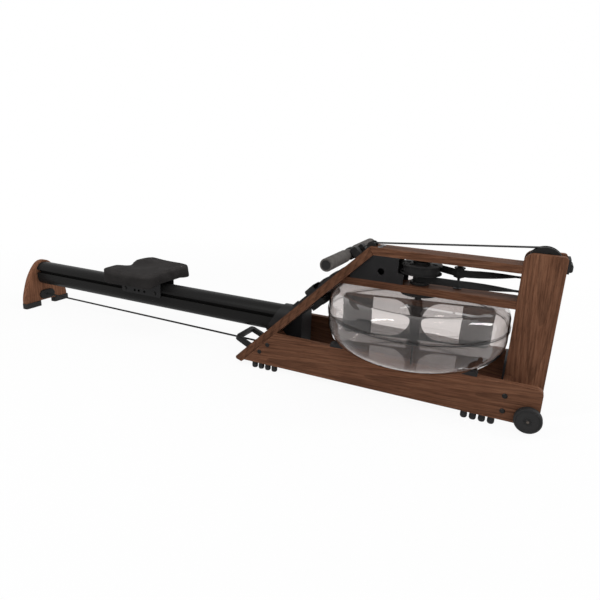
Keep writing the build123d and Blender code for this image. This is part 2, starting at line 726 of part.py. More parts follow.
def drive_strap():
    start = (HANDLE_X + (TONGUE + 0.2) * cos(HANDLE_HEAD), HANDLE_Z + (TONGUE + 0.2) * sin(HANDLE_HEAD))
    dx = PULLEY_X - CORNER_X
    dz = PULLEY_Z - TOP_Z1
    head = atan2(dz, dx) + asin((PULLEY_LINE - GUIDE_LINE) / hypot(dx, dz))
    guide_out = (CORNER_X - GUIDE_LINE * sin(head), TOP_Z1 + GUIDE_LINE * cos(head))
    over = (PULLEY_X - PULLEY_LINE * sin(head), PULLEY_Z + PULLEY_LINE * cos(head))
    flat_end = UP_REAR - 12.0
    low = PULLEY_Z - PULLEY_LINE
    turn_in = degrees(HANDLE_HEAD)
    turn_out = degrees(head)
    face = line_band(start, GUIDE_IN, STRAP_T)
    face += arc_band((CORNER_X, TOP_Z1), GUIDE_LINE, 90 + turn_in, turn_out - turn_in, STRAP_T)
    face += line_band(guide_out, over, STRAP_T)
    face += arc_band((PULLEY_X, PULLEY_Z), PULLEY_LINE, 90 + turn_out, -180 - turn_out, STRAP_T)
    face += line_band((PULLEY_X, low), (flat_end, low), STRAP_T)
    strap = side_slab(face, -STRAP_W / 2, STRAP_W / 2)
    twist_end = IDLER_X + 30.0
    strap += twist((twist_end, 0, DRUM_Z), (flat_end, 0, low), 90, 0)
    ahead = hypot(IDLER_X - TANK_X, IDLER_Y)
    line = atan2(IDLER_Y, IDLER_X - TANK_X) - asin((IDLER_LINE + DRUM_LINE) / ahead)
    n = (-sin(line), cos(line))
    off_drum = (TANK_X + DRUM_LINE * n[0], DRUM_LINE * n[1])
    on_idler = (IDLER_X - IDLER_LINE * n[0], IDLER_Y - IDLER_LINE * n[1])
    angle = degrees(line)
    edge = arc_band((TANK_X, 0), DRUM_LINE, 90 + angle, 120, STRAP_T)
    edge += line_band(off_drum, on_idler, STRAP_T)
    edge += arc_band((IDLER_X, IDLER_Y), IDLER_LINE, angle - 90, -angle, STRAP_T)
    edge += line_band((IDLER_X, 0), (twist_end, 0), STRAP_T)
    upright_run = extrude(edge, STRAP_W)
    return strap + Pos(0, 0, DRUM_Z - STRAP_W / 2) * upright_run


def recoil_strap():
    flat_start = UP_REAR - 12.0
    front = PULLEY_X + RECOIL_PULLEY_LINE
    face = line_band((flat_start, RECOIL_RUN_Z), (PULLEY_X, RECOIL_RUN_Z), STRAP_T)
    face += arc_band((PULLEY_X, RECOIL_TOP_Z), RECOIL_PULLEY_LINE, 90, -90, STRAP_T)
    face += line_band((front, RECOIL_TOP_Z), (front, RECOIL_LOW_Z), STRAP_T)
    face += arc_band((PULLEY_X, RECOIL_LOW_Z), RECOIL_PULLEY_LINE, 0, -90, STRAP_T)
    face += line_band((PULLEY_X, LOW_RUN_Z), (COUPLER_X + 0.2, LOW_RUN_Z), STRAP_T)
    strap = side_slab(face, -STRAP_W / 2, STRAP_W / 2)
    twist_start = TANK_X + 112.0
    side = -RECOIL_LINE
    strap += twist((twist_start, side, RECOIL_Z), (flat_start, 0, RECOIL_RUN_Z), 90, 0)
    edge = line_band((TANK_X, side), (twist_start, side), STRAP_T)
    edge += arc_band((TANK_X, 0), RECOIL_LINE, -90, -200, STRAP_T)
    return strap + Pos(0, 0, RECOIL_Z - STRAP_W / 2) * extrude(edge, STRAP_W)


COUPLER_L = 44.0


def coupler():
    body = block(COUPLER_X - COUPLER_L, COUPLER_X, -15, 15, LOW_RUN_Z - 7, LOW_RUN_Z + 7)
    return fillet(body.edges().filter_by(Axis.Z), 6.0)


def bungee():
    a = Vector(LEG_FRONT + 4.4, 0, ANCHOR_Z)
    b = Vector(COUPLER_X - COUPLER_L - 0.2, 0, LOW_RUN_Z)
    plane = Plane(origin=a, z_dir=b - a)
    return extrude(plane * Circle(CORD_R), (b - a).length)


def handle_rest():
    """Two blocks that the grips lean on, either side of the strap."""
    low = CORNER_S - HANDLE_DOWN + GRIP_R + EASY
    middle = low + REST_L / 2
    inside = STRAP_W / 2 + 9.0
    outside = half_width_at(CORNER_S) - 0.6
    wide = outside - inside
    plate = SLOPE * Pos((low + CORNER_S) / 2, 0, FOOT_T + 1.5) * Box(CORNER_S - low, 2 * outside, 3)
    for side in (-1, 1):
        y = side * (inside + wide / 2)
        rest = Pos(middle, y, FOOT_T + REST_H / 2) * Box(REST_L, wide, REST_H)
        rest = fillet(rest.faces().sort_by(Axis.Z)[-1].edges().filter_by(Axis.Y), 7.0)
        for k in (-1, 0, 1):
            rest -= Pos(middle + 5 * k, y, FOOT_T + REST_H) * Box(1.6, wide + 2, 3)
        plate += SLOPE * rest
    return plate


def strap_guide():
    centre = (CORNER_X, TOP_Z1)
    arc = 180.0 + FOOT_SLOPE

    def pie(r):
        rim = CenterArc(centre, r, 0, arc)
        return make_face([Line(centre, rim @ 0), rim, Line(rim @ 1, centre)])

    half = STRAP_W / 2 + 1.0
    guide = side_slab(pie(GUIDE_R), -half - 4, half + 4)
    for side in (-1, 1):
        y = side * (half + 2)
        guide += side_slab(pie(GUIDE_R + 7), y - 2, y + 2)
    return guide + handle_rest()


# Handle

def handle_bar():
    return bar_y(BAR_R, HANDLE_X, -HANDLE_HALF + 6, HANDLE_HALF - 6, HANDLE_Z)


def handle_grip():
    start = CLAMP_W / 2 + 1.0
    grip = turned_y([
        (BAR_R + BOLT_FIT, -start), (GRIP_R, -start, 2.0), (GRIP_R, -HANDLE_HALF, 5.0), (0, -HANDLE_HALF),
        (0, -HANDLE_HALF + 5.5), (BAR_R + BOLT_FIT, -HANDLE_HALF + 5.5),
    ], HANDLE_X, HANDLE_Z)
    return grip


def handle_clamp():
    half = CLAMP_W / 2
    outline = [(BAR_R + BOLT_FIT, -half), (CLAMP_R - 2, -half, 1.5)]
    for y in (-half + 4, half - 8):
        outline += [(CLAMP_R, y), (CLAMP_R, y + 4)]
    outline += [(CLAMP_R - 2, half, 1.5), (BAR_R + BOLT_FIT, half)]
    clamp = turned_y(outline, HANDLE_X, HANDLE_Z)
    tongue = Pos(HANDLE_X, 0, HANDLE_Z) * Rot(0, -degrees(HANDLE_HEAD), 0)
    reach = TONGUE - BAR_R - 4
    clamp += tongue * Pos(TONGUE - reach / 2, 0, 0) * Box(reach, STRAP_W + 6, 10)
    return clamp


# Foot units

PLATE_S0 = RAIL_TOP_S + 8.0
PLATE_S1 = PLATE_S0 + 200.0
PLATE_T = 4.0
PLATE_IN = 7.0
TOE_L = 70.0
TOE_T = 5.0
HEEL_L = 70.0
HEEL_WALL = 9.0
HEEL_TRAVEL = 45.0
KEY_W = 10.0
KEY_L = 50.0
KEY_D = 2.0


def pad_outline(s0, s1, inset, r):
    """A foot pad's outline between two places on the slope, following the board's edge."""
    inside = PLATE_IN + inset
    low = half_width_at(s0) - 2 - inset
    high = half_width_at(s1) - 2 - inset
    return rounded([(s0, inside, r), (s1, inside, r), (s1, high, r), (s0, low, r)])


def footplate():
    plate = SLOPE * Pos(0, 0, FOOT_T) * extrude(pad_outline(PLATE_S0, PLATE_S1, 0, 10.0), PLATE_T)
    toe_s = PLATE_S1 - TOE_L
    toe = extrude(pad_outline(toe_s, PLATE_S1 - 2, 2, 8.0), TOE_T + 1)
    plate += SLOPE * Pos(0, 0, FOOT_T + PLATE_T - 1) * toe
    for k in range(4):
        s = toe_s + 13 + 14 * k
        wide = half_width_at(s) - PLATE_IN - 16
        rib = Pos(s, PLATE_IN + 7 + wide / 2, FOOT_T + PLATE_T + TOE_T) * Box(5, wide, 2)
        plate += SLOPE * rib
    groove = KEY_L + HEEL_TRAVEL + 2 * EASY
    start = PLATE_S0 + 2 + (HEEL_L - KEY_L) / 2 - EASY
    plate -= SLOPE * Pos(start + groove / 2, LOOP_Y, FOOT_T + PLATE_T) * Box(groove, KEY_W, 2 * KEY_D)
    return plate - foot_loop(RAIL_GAP)


def heel_rest():
    middle = PLATE_S0 + 2 + HEEL_L / 2
    wide = LOOP_OUT - LOOP_IN - 12.0
    low = FOOT_T + PLATE_T + EASY
    outer = Pos(middle, LOOP_Y) * RectangleRounded(HEEL_L, wide, 16.0)
    inner = Pos(middle + 5, LOOP_Y) * RectangleRounded(HEEL_L, wide - 10, 11.0)
    rear_half = Pos(middle - HEEL_L / 4, LOOP_Y, 0) * Box(HEEL_L / 2, wide, 60)
    rest = extrude(outer, 5.0)
    rest += extrude(outer - inner, HEEL_WALL) & rear_half
    rest += Pos(middle, LOOP_Y, (1 - KEY_D) / 2) * Box(KEY_L, KEY_W - 2 * EASY, KEY_D + 1)
    return SLOPE * Pos(0, 0, low) * rest


def foot_strap():
    long = STRAP_BAND + 22.0
    wide = LOOP_OUT - LOOP_IN - 2 * LOOP_R
    buckle = Pos(STRAP_S + STRAP_BAND / 2 - 2 - long / 2, LOOP_Y, -LOOP_UNDER + 8.5) * Box(long, wide, 15)
    buckle = fillet(buckle.edges().filter_by(Axis.Z), 6.0)
    return foot_loop(0) + SLOPE * buckle


# Wheels, bumper and feet

def wheel():
    y0 = HALF_W + 2.0
    y1 = y0 + WHEEL_W
    tyre = turned_y([
        (WHEEL_BOLT_R + RUN, -y1), (9.0, -y1), (11.0, -y1 + 2.5), (WHEEL_R - 7, -y1 + 2.5),
        (WHEEL_R - 5, -y1), (WHEEL_R, -y1, 4.0), (WHEEL_R, -y0, 4.0), (WHEEL_BOLT_R + RUN, -y0),
    ], WHEEL_X, WHEEL_Z)
    return tyre


def wheel_bolt():
    y1 = HALF_W + 2.0 + WHEEL_W + SIDE
    long = y1 - (HALF_W - BOARD_T)
    return Pos(WHEEL_X, y1, WHEEL_Z) * bolt(WHEEL_BOLT_R, long, 8.0, 3.0)


def front_bumper():
    plate = block(UP_FRONT, UP_FRONT + 6, -34, 34, TOP_Z0 + 12, UP_TOP - 6)
    plate = fillet(plate.edges().filter_by(Axis.X), 6.0)
    nose_z = TOP_Z0 + 28
    nose = rounded([
        (UP_FRONT + 1, nose_z - 11), (UP_FRONT + BUMPER_PROUD, nose_z - 11, 6.0),
        (UP_FRONT + BUMPER_PROUD, nose_z + 11, 6.0), (UP_FRONT + 1, nose_z + 11),
    ])
    return plate + side_slab(nose, -30, 30)


def rubber_feet():
    feet = []
    rear = [BASE_REAR + 41.0 + 25.0 * k for k in range(4)]
    front = [UP_REAR - 90.0 + 25.0 * k for k in range(4)]
    for x in [*rear, *front]:
        for side in (-1, 1):
            foot = turned([
                (0, 0), (8.0, 0, 1.0), (10.0, 4.0), (10.0, 13.0), (8.4, 14.0), (8.4, 16.0), (10.0, 17.0),
                (10.0, FLOOR_GAP), (0, FLOOR_GAP),
            ], x, side * (HALF_W - BOARD_T / 2))
            feet.append(foot)
    for side in (-1, 1):
        y = side * 73.0
        pad = block(LEG_BACK, LEG_FRONT + 8, y - 39, y + 39, 0, LEG_FOOT_H)
        feet.append(fillet(pad.edges().filter_by(Axis.Z), 8.0))
    return group(*feet)


def frame_bolts():
    bolts = []
    for p in BASE_BOLTS:
        far = Pos(p.X, HALF_W, p.Z) * bolt(BOLT_R, BOLT_LEN, 7.5, 3.2)
        bolts += [far, mirror(far, Plane.XZ)]
    far = wheel_bolt()
    bolts += [far, mirror(far, Plane.XZ)]
    for z in LEG_BOLT_Z:
        screw = Pos(LEG_BACK + 6, 0, z) * Rot(0, 0, 90) * bolt(BOLT_R, LEG_T - 6, 7.5, 3.2)
        bolts.append(screw)
    return group(*bolts)


# Seat and carriage

def seat_pad():
    half = SEAT_W / 2
    rear = SEAT_X - SEAT_L / 2
    front = SEAT_X + SEAT_L / 2
    plan = rounded([
        (rear, -half, 34.0), (front, -half, 38.0), (front, half, 38.0), (rear, half, 34.0),
        (rear, 46.0, 26.0), (rear + 18, 0.0, 40.0), (rear, -46.0, 26.0),
    ])
    edge = SEAT_BOTTOM + SEAT_EDGE
    pad = Pos(0, 0, SEAT_BOTTOM) * extrude(plan, SEAT_EDGE + 30)
    top = Spline(
        (rear - 20, edge + 4), (rear + 28, edge + 11), (SEAT_X - 10, edge - 1),
        (front - 45, edge - 2), (front + 20, edge + 1),
        tangents=((1, 0.3), (1, 0.1)),
    )
    roof = make_face([
        top, Line(top @ 1, (front + 20, edge + 60)), Line((front + 20, edge + 60), (rear - 20, edge + 60)),
        Line((rear - 20, edge + 60), top @ 0),
    ])
    pad -= side_slab(roof, -half - 10, half + 10)
    channel = Pos(SEAT_X, 0, edge - 5 + 150) * Rot(0, 90, 0) * Cylinder(150.0, SEAT_L + 80)
    return pad - channel


def carriage():
    x0 = SEAT_X - CARRIAGE_L / 2 - 1.5
    x1 = x0 + CARRIAGE_L
    inner = RAIL_W / 2 + 1.6
    outer = inner + CARRIAGE_T
    top = SEAT_BOTTOM
    side = rounded([
        (x0, ROLLER_Z - 14, 10.0), (x1, ROLLER_Z - 14, 10.0), (x1, top), (x0, top),
    ])
    cover = block(x0, x1, -outer, outer, top - 5, top)
    for s in (-1, 1):
        plate = side_slab(side, inner if s > 0 else -outer, outer if s > 0 else -inner)
        for x in AXLE_XS:
            plate -= bar_y(ROLLER_AXLE_R + BOLT_FIT, x, -100, 100, ROLLER_Z)
        for x in (SEAT_X - 33.5, SEAT_X - 12.5, SEAT_X + 15.5):
            plate -= bar_y(5.0, x, -100, 100, ROLLER_Z)
        cover += plate
    return cover


AXLE_XS = (SEAT_X - 85.0, SEAT_X + 64.0)


def carriage_axles():
    pins = []
    inner = RAIL_W / 2 - LIP_T - CHANNEL_D + 1.0
    outer = RAIL_W / 2 + 1.6 + CARRIAGE_T
    for x in AXLE_XS:
        pin = bar_y(ROLLER_AXLE_R, x, inner, outer, ROLLER_Z) + bar_y(8.0, x, outer, outer + 3, ROLLER_Z)
        pins += [pin, mirror(pin, Plane.XZ)]
    return group(*pins)


def roller(x, side):
    mid = RAIL_W / 2 - LIP_T - CHANNEL_D / 2
    ring = bar_y(ROLLER_R, x, mid - ROLLER_W / 2, mid + ROLLER_W / 2, ROLLER_Z)
    ring -= bar_y(ROLLER_AXLE_R + RUN, x, mid - 20, mid + 20, ROLLER_Z)
    return ring if side > 0 else mirror(ring, Plane.XZ)


def save_pair(name, make):
    near, far = both_sides(make)
    save(name + "_near", near)
    save(name + "_far", far)


save_pair("base_board", base_board)
save("front_cross_beam", cross_beam())
save("front_tie_plate", tie_plate())
save("footboard_cleats", group(*both_sides(cleat)))
save("footboard", footboard())
save("top_deck", top_deck())
save("mid_deck", mid_deck())
save_pair("upright", upright)
save_pair("gusset", gusset)
save("monorail", monorail())
save("rail_socket", rail_socket())
save("rail_bracket", rail_bracket())
save("rear_leg", rear_leg())
save("bungee_anchor", bungee_anchor())
save("grab_handle", grab_handle())
save("rubber_feet", rubber_feet())
save("frame_bolts", frame_bolts())
save("tank_lower", tank_lower())
save("tank_upper", tank_upper())
save("tank_gasket", tank_gasket())
save("tank_pads", tank_pads())
save("bearing_housing", housing())
save("paddle", paddle())
save("drive_drum", drive_drum())
save("idler_roller", idler_roller())
save("idler_bracket", idler_bracket())
save("drive_pulley", flat_pulley(PULLEY_R, PULLEY_Z))
save("recoil_pulley_top", flat_pulley(RECOIL_PULLEY_R, RECOIL_TOP_Z))
save("recoil_pulley_bottom", flat_pulley(RECOIL_PULLEY_R, RECOIL_LOW_Z))
save("pulley_axles", pulley_axles())
save("drive_strap", drive_strap())
save("recoil_strap", recoil_strap())
save("coupler", coupler())
save("bungee", bungee())
save("strap_guide", strap_guide())
save("handle_bar", handle_bar())
save("handle_clamp", handle_clamp())
GRIP = handle_grip()
save("handle_grip_far", GRIP)
save("handle_grip_near", mirror(GRIP, Plane.XZ))
save_pair("footplate", footplate)
save_pair("heel_rest", heel_rest)
save_pair("foot_strap", foot_strap)
WHEEL = wheel()
save("wheel_far", WHEEL)
save("wheel_near", mirror(WHEEL, Plane.XZ))
save("front_bumper", front_bumper())
save("seat_pad", seat_pad())
save("carriage", carriage())
save("carriage_axles", carriage_axles())
for place, x in zip(("rear", "front"), AXLE_XS):
    save("roller_" + place + "_near", roller(x, -1))
    save("roller_" + place + "_far", roller(x, 1))
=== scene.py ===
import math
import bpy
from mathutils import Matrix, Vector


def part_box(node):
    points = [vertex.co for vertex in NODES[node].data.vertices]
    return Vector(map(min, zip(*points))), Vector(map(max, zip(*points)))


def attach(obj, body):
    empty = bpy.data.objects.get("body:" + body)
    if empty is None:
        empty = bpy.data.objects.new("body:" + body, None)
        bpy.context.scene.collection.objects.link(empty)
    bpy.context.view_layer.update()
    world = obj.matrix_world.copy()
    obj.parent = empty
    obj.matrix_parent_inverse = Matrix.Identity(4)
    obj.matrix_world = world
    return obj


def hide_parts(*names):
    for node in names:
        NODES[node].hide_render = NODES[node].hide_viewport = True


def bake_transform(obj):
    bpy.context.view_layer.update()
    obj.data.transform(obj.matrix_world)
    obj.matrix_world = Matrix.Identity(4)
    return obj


bl_info = {
    "name": "Rowing machine",
    "version": (1, 0, 0),
    "blender": (4, 5, 0),
    "location": "View3D > Sidebar > Rower",
    "description": "Finishes, soft pieces and stage for a wooden rowing machine with a water tank",
    "category": "Object",
}

import bpy
from mathutils import Euler, Matrix, Vector

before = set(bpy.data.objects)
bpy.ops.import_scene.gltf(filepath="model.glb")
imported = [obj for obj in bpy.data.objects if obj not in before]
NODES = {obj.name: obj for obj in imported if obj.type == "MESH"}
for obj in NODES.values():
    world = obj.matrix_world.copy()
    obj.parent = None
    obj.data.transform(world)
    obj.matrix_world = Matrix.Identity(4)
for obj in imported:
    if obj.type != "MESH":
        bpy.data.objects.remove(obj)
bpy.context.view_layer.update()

BLACK_STEEL = ("front_tie_plate", "gusset_near", "gusset_far", "rail_bracket", "idler_bracket", "carriage")
BLACK_PLASTIC = (
    "rail_socket", "bungee_anchor", "grab_handle", "tank_pads", "bearing_housing", "strap_guide",
    "footplate_near", "footplate_far", "heel_rest_near", "heel_rest_far", "drive_drum", "idler_roller",
    "drive_pulley", "recoil_pulley_top", "recoil_pulley_bottom", "coupler", "handle_clamp",
    "roller_rear_near", "roller_rear_far", "roller_front_near", "roller_front_far",
)
RUBBER = ("rubber_feet", "front_bumper", "tank_gasket", "wheel_near", "wheel_far")
DARK_STEEL = ("frame_bolts", "pulley_axles", "carriage_axles", "handle_bar")
PADDLE_REST = math.radians(13.4)
PADDLE_HUB = 0.0155
SHARP_EDGE = math.radians(50)


class RowerFinishes(bpy.types.PropertyGroup):
    """Colours of the finishes, as linear values"""

    walnut_dark: bpy.props.FloatVectorProperty(
        name="Walnut dark", description="Late growth lines of the boards", subtype="COLOR",
        size=3, min=0.0, max=1.0, default=(0.052, 0.0215, 0.0115),
    )
    walnut_mid: bpy.props.FloatVectorProperty(
        name="Walnut", description="Main colour of the boards", subtype="COLOR",
        size=3, min=0.0, max=1.0, default=(0.120, 0.0545, 0.0312),
    )
    walnut_light: bpy.props.FloatVectorProperty(
        name="Walnut light", description="Pale streaks of the boards", subtype="COLOR",
        size=3, min=0.0, max=1.0, default=(0.185, 0.090, 0.053),
    )
    plastic: bpy.props.FloatVectorProperty(
        name="Black plastic", description="Moulded pieces", subtype="COLOR",
        size=3, min=0.0, max=1.0, default=(0.013, 0.0125, 0.0125),
    )
    steel: bpy.props.FloatVectorProperty(
        name="Powder coat", description="Black plates and brackets", subtype="COLOR",
        size=3, min=0.0, max=1.0, default=(0.012, 0.0115, 0.012),
    )
    rail: bpy.props.FloatVectorProperty(
        name="Rail", description="Black anodised rail", subtype="COLOR",
        size=3, min=0.0, max=1.0, default=(0.0095, 0.0092, 0.0090),
    )
    rubber: bpy.props.FloatVectorProperty(
        name="Rubber", description="Feet, bumper and tyres", subtype="COLOR",
        size=3, min=0.0, max=1.0, default=(0.022, 0.0215, 0.0215),
    )
    foam: bpy.props.FloatVectorProperty(
        name="Foam", description="Handle grips", subtype="COLOR",
        size=3, min=0.0, max=1.0, default=(0.072, 0.066, 0.062),
    )
    seat: bpy.props.FloatVectorProperty(
        name="Seat", description="Skin of the seat pad", subtype="COLOR",
        size=3, min=0.0, max=1.0, default=(0.024, 0.0222, 0.0217),
    )
    webbing: bpy.props.FloatVectorProperty(
        name="Webbing", description="Straps and shock cord", subtype="COLOR",
        size=3, min=0.0, max=1.0, default=(0.014, 0.014, 0.014),
    )
    tank: bpy.props.FloatVectorProperty(
        name="Tank", description="Smoke tint of the clear tank", subtype="COLOR",
        size=3, min=0.0, max=1.0, default=(0.985, 0.958, 0.948),
    )
    paddle: bpy.props.FloatVectorProperty(
        name="Paddle", description="Smoke grey of the paddle's blades", subtype="COLOR",
        size=3, min=0.0, max=1.0, default=(0.14, 0.136, 0.134),
    )


class RowerSizes(bpy.types.PropertyGroup):
    """Sizes of the pieces that are made here"""

    seat_voxel: bpy.props.FloatProperty(
        name="Seat mesh", description="Cell size of the seat pad's mesh", default=0.004, min=0.002,
        unit="LENGTH",
    )
    seat_swell: bpy.props.FloatProperty(
        name="Seat swell", description="Most that the seat's foam may swell", default=0.003, min=0.0,
        unit="LENGTH",
    )
    grip_radius: bpy.props.FloatProperty(
        name="Grip radius", description="Radius of the foam where the hand holds it", default=0.0198, min=0.0,
        unit="LENGTH",
    )
    grip_round: bpy.props.FloatProperty(
        name="Grip edge", description="Rounding of the grips' ends", default=0.003, min=0.0, unit="LENGTH",
    )
    strap_round: bpy.props.FloatProperty(
        name="Strap edge", description="Rounding of the straps' edges", default=0.0004, min=0.0,
        unit="LENGTH",
    )
    grab_fill: bpy.props.FloatProperty(
        name="Grab handle", description="How far its bars thicken into the opening", default=0.009, min=0.0,
        unit="LENGTH",
    )
    cord_swell: bpy.props.FloatProperty(
        name="Cord swell", description="How far the cord's braid stands out", default=0.0006, min=0.0,
        unit="LENGTH",
    )
    socket_across: bpy.props.FloatProperty(
        name="Bolt socket", description="Width of the hexagon in the bolt heads", default=0.007, min=0.0,
        unit="LENGTH",
    )
    cap_radius: bpy.props.FloatProperty(
        name="Deck cap", description="Radius of the round caps on the top deck", default=0.009, min=0.0,
        unit="LENGTH",
    )


def deselect():
    if bpy.context.object and bpy.context.object.mode != "OBJECT":
        bpy.ops.object.mode_set(mode="OBJECT")
    bpy.ops.object.select_all(action="DESELECT")


def only(obj):
    deselect()
    obj.select_set(True)
    bpy.context.view_layer.objects.active = obj


def edit(obj):
    only(obj)
    bpy.ops.object.mode_set(mode="EDIT")
    bpy.ops.mesh.select_all(action="SELECT")


def leave_edit():
    bpy.ops.object.mode_set(mode="OBJECT")


def apply_modifiers(obj):
    only(obj)
    for m in list(obj.modifiers):
        bpy.ops.object.modifier_apply(modifier=m.name)


def settle(obj, name, material):
    """Names a finished piece, applies its place and gives it its material."""
    only(obj)
    bpy.ops.object.transform_apply(location=True, rotation=True, scale=True)
    obj.name = name
    obj.data.name = name
    obj.data.materials.clear()
    obj.data.materials.append(material)
    return obj


def copy_node(node, name):
    """A joined copy of a CAD node's mesh, to be shaped further."""
    obj = bpy.data.objects.new(name, NODES[node].data.copy())
    bpy.context.scene.collection.objects.link(obj)
    edit(obj)
    bpy.ops.mesh.remove_doubles(threshold=0.00002)
    bpy.ops.mesh.customdata_custom_splitnormals_clear()
    leave_edit()
    return obj


def round_edges(obj, width, segments):
    edge = obj.modifiers.new("edge", "BEVEL")
    edge.width = width
    edge.segments = segments
    edge.limit_method = "ANGLE"
    edge.angle_limit = SHARP_EDGE
    apply_modifiers(obj)


def smooth(obj, degrees):
    only(obj)
    bpy.ops.object.shade_smooth_by_angle(angle=math.radians(degrees))


def web_strap(node, name, cloth):
    """A strap from its CAD node, with soft edges and a woven cloth."""
    strap = copy_node(node, name)
    round_edges(strap, bpy.context.scene.rower_sizes.strap_round, 2)
    smooth(strap, 35)
    settle(strap, name, cloth)
    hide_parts(node)
    return strap


def face_in(obj, way):
    """Enters edit mode with the flat outermost face towards way selected."""
    edit(obj)
    bpy.ops.mesh.select_mode(type="FACE")
    bpy.ops.mesh.select_all(action="DESELECT")
    leave_edit()
    flat = [f for f in obj.data.polygons if f.normal.dot(way) > 0.95]
    tip = max(flat, key=lambda f: f.center.dot(way) + f.area)
    tip.select = True
    bpy.ops.object.mode_set(mode="EDIT")


def paint(nodes, material):
    for name in nodes:
        mesh = NODES[name].data
        mesh.materials.clear()
        mesh.materials.append(material)


def effect(name, outputs):
    """A shared effect that reads a position and gives colours or numbers."""
    group = bpy.data.node_groups.new(name, "ShaderNodeTree")
    group.interface.new_socket("Position", in_out="INPUT", socket_type="NodeSocketVector")
    for label, kind in outputs:
        group.interface.new_socket(label, in_out="OUTPUT", socket_type=kind)
    source = group.nodes.new("NodeGroupInput")
    sink = group.nodes.new("NodeGroupOutput")
    return group, source, sink


def ramp(tree, stops):
    node = tree.nodes.new("ShaderNodeValToRGB")
    bar = node.color_ramp
    while len(bar.elements) < len(stops):
        bar.elements.new(0.5)
    for item, (place, colour) in zip(bar.elements, stops):
        item.position = place
        item.color = (*colour, 1.0)
    return node


def grey(value):
    return (value, value, value)


def stretch(tree, source, scale):
    node = tree.nodes.new("ShaderNodeVectorMath")
    node.operation = "MULTIPLY"
    node.inputs[1].default_value = scale
    tree.links.new(source, node.inputs[0])
    return node.outputs[0]


def noise(tree, vector, scale, detail=3.0, rough=0.55):
    node = tree.nodes.new("ShaderNodeTexNoise")
    node.inputs["Scale"].default_value = scale
    node.inputs["Detail"].default_value = detail
    node.inputs["Roughness"].default_value = rough
    tree.links.new(vector, node.inputs["Vector"])
    return node.outputs["Fac"]


def mix_colour(tree, kind, factor, a, b):
    node = tree.nodes.new("ShaderNodeMix")
    node.data_type = "RGBA"
    node.blend_type = kind
    for socket, value in zip((node.inputs[0], node.inputs[6], node.inputs[7]), (factor, a, b)):
        if isinstance(value, bpy.types.NodeSocket):
            tree.links.new(value, socket)
        elif isinstance(value, float):
            socket.default_value = value
        else:
            socket.default_value = (*value, 1.0)
    return node.outputs[2]


def arith(tree, kind, a, b):
    node = tree.nodes.new("ShaderNodeMath")
    node.operation = kind
    for socket, value in zip(node.inputs, (a, b)):
        if isinstance(value, bpy.types.NodeSocket):
            tree.links.new(value, socket)
        else:
            socket.default_value = value
    return node.outputs[0]


def spread(tree, value, low, high):
    node = tree.nodes.new("ShaderNodeMapRange")
    node.inputs["To Min"].default_value = low
    node.inputs["To Max"].default_value = high
    tree.links.new(value, node.inputs["Value"])
    return node.outputs["Result"]


def shaded(tree, factor, colour, dark, light, start=0.0, stop=1.0):
    """A colour that runs from a darker to a lighter share of itself along a factor."""
    node = ramp(tree, [(start, [c * dark for c in colour]), (stop, [c * light for c in colour])])
    tree.links.new(factor, node.inputs["Fac"])
    return node.outputs["Color"]


def shader(name, gloss=0.15):
    """A new material with its tree, its surface shader and its object position."""
    material = bpy.data.materials.new(name)
    material.use_nodes = True
    tree = material.node_tree
    surface = tree.nodes["Principled BSDF"]
    surface.inputs["Specular IOR Level"].default_value = gloss
    place = tree.nodes.new("ShaderNodeTexCoord").outputs["Object"]
    return material, tree, surface, place


def use(tree, group, position):
    node = tree.nodes.new("ShaderNodeGroup")
    node.node_tree = group
    tree.links.new(position, node.inputs["Position"])
    return node


def bump(tree, surface, height, strength, distance):
    node = tree.nodes.new("ShaderNodeBump")
    node.inputs["Strength"].default_value = strength
    node.inputs["Distance"].default_value = distance
    tree.links.new(height, node.inputs["Height"])
    tree.links.new(node.outputs["Normal"], surface.inputs["Normal"])


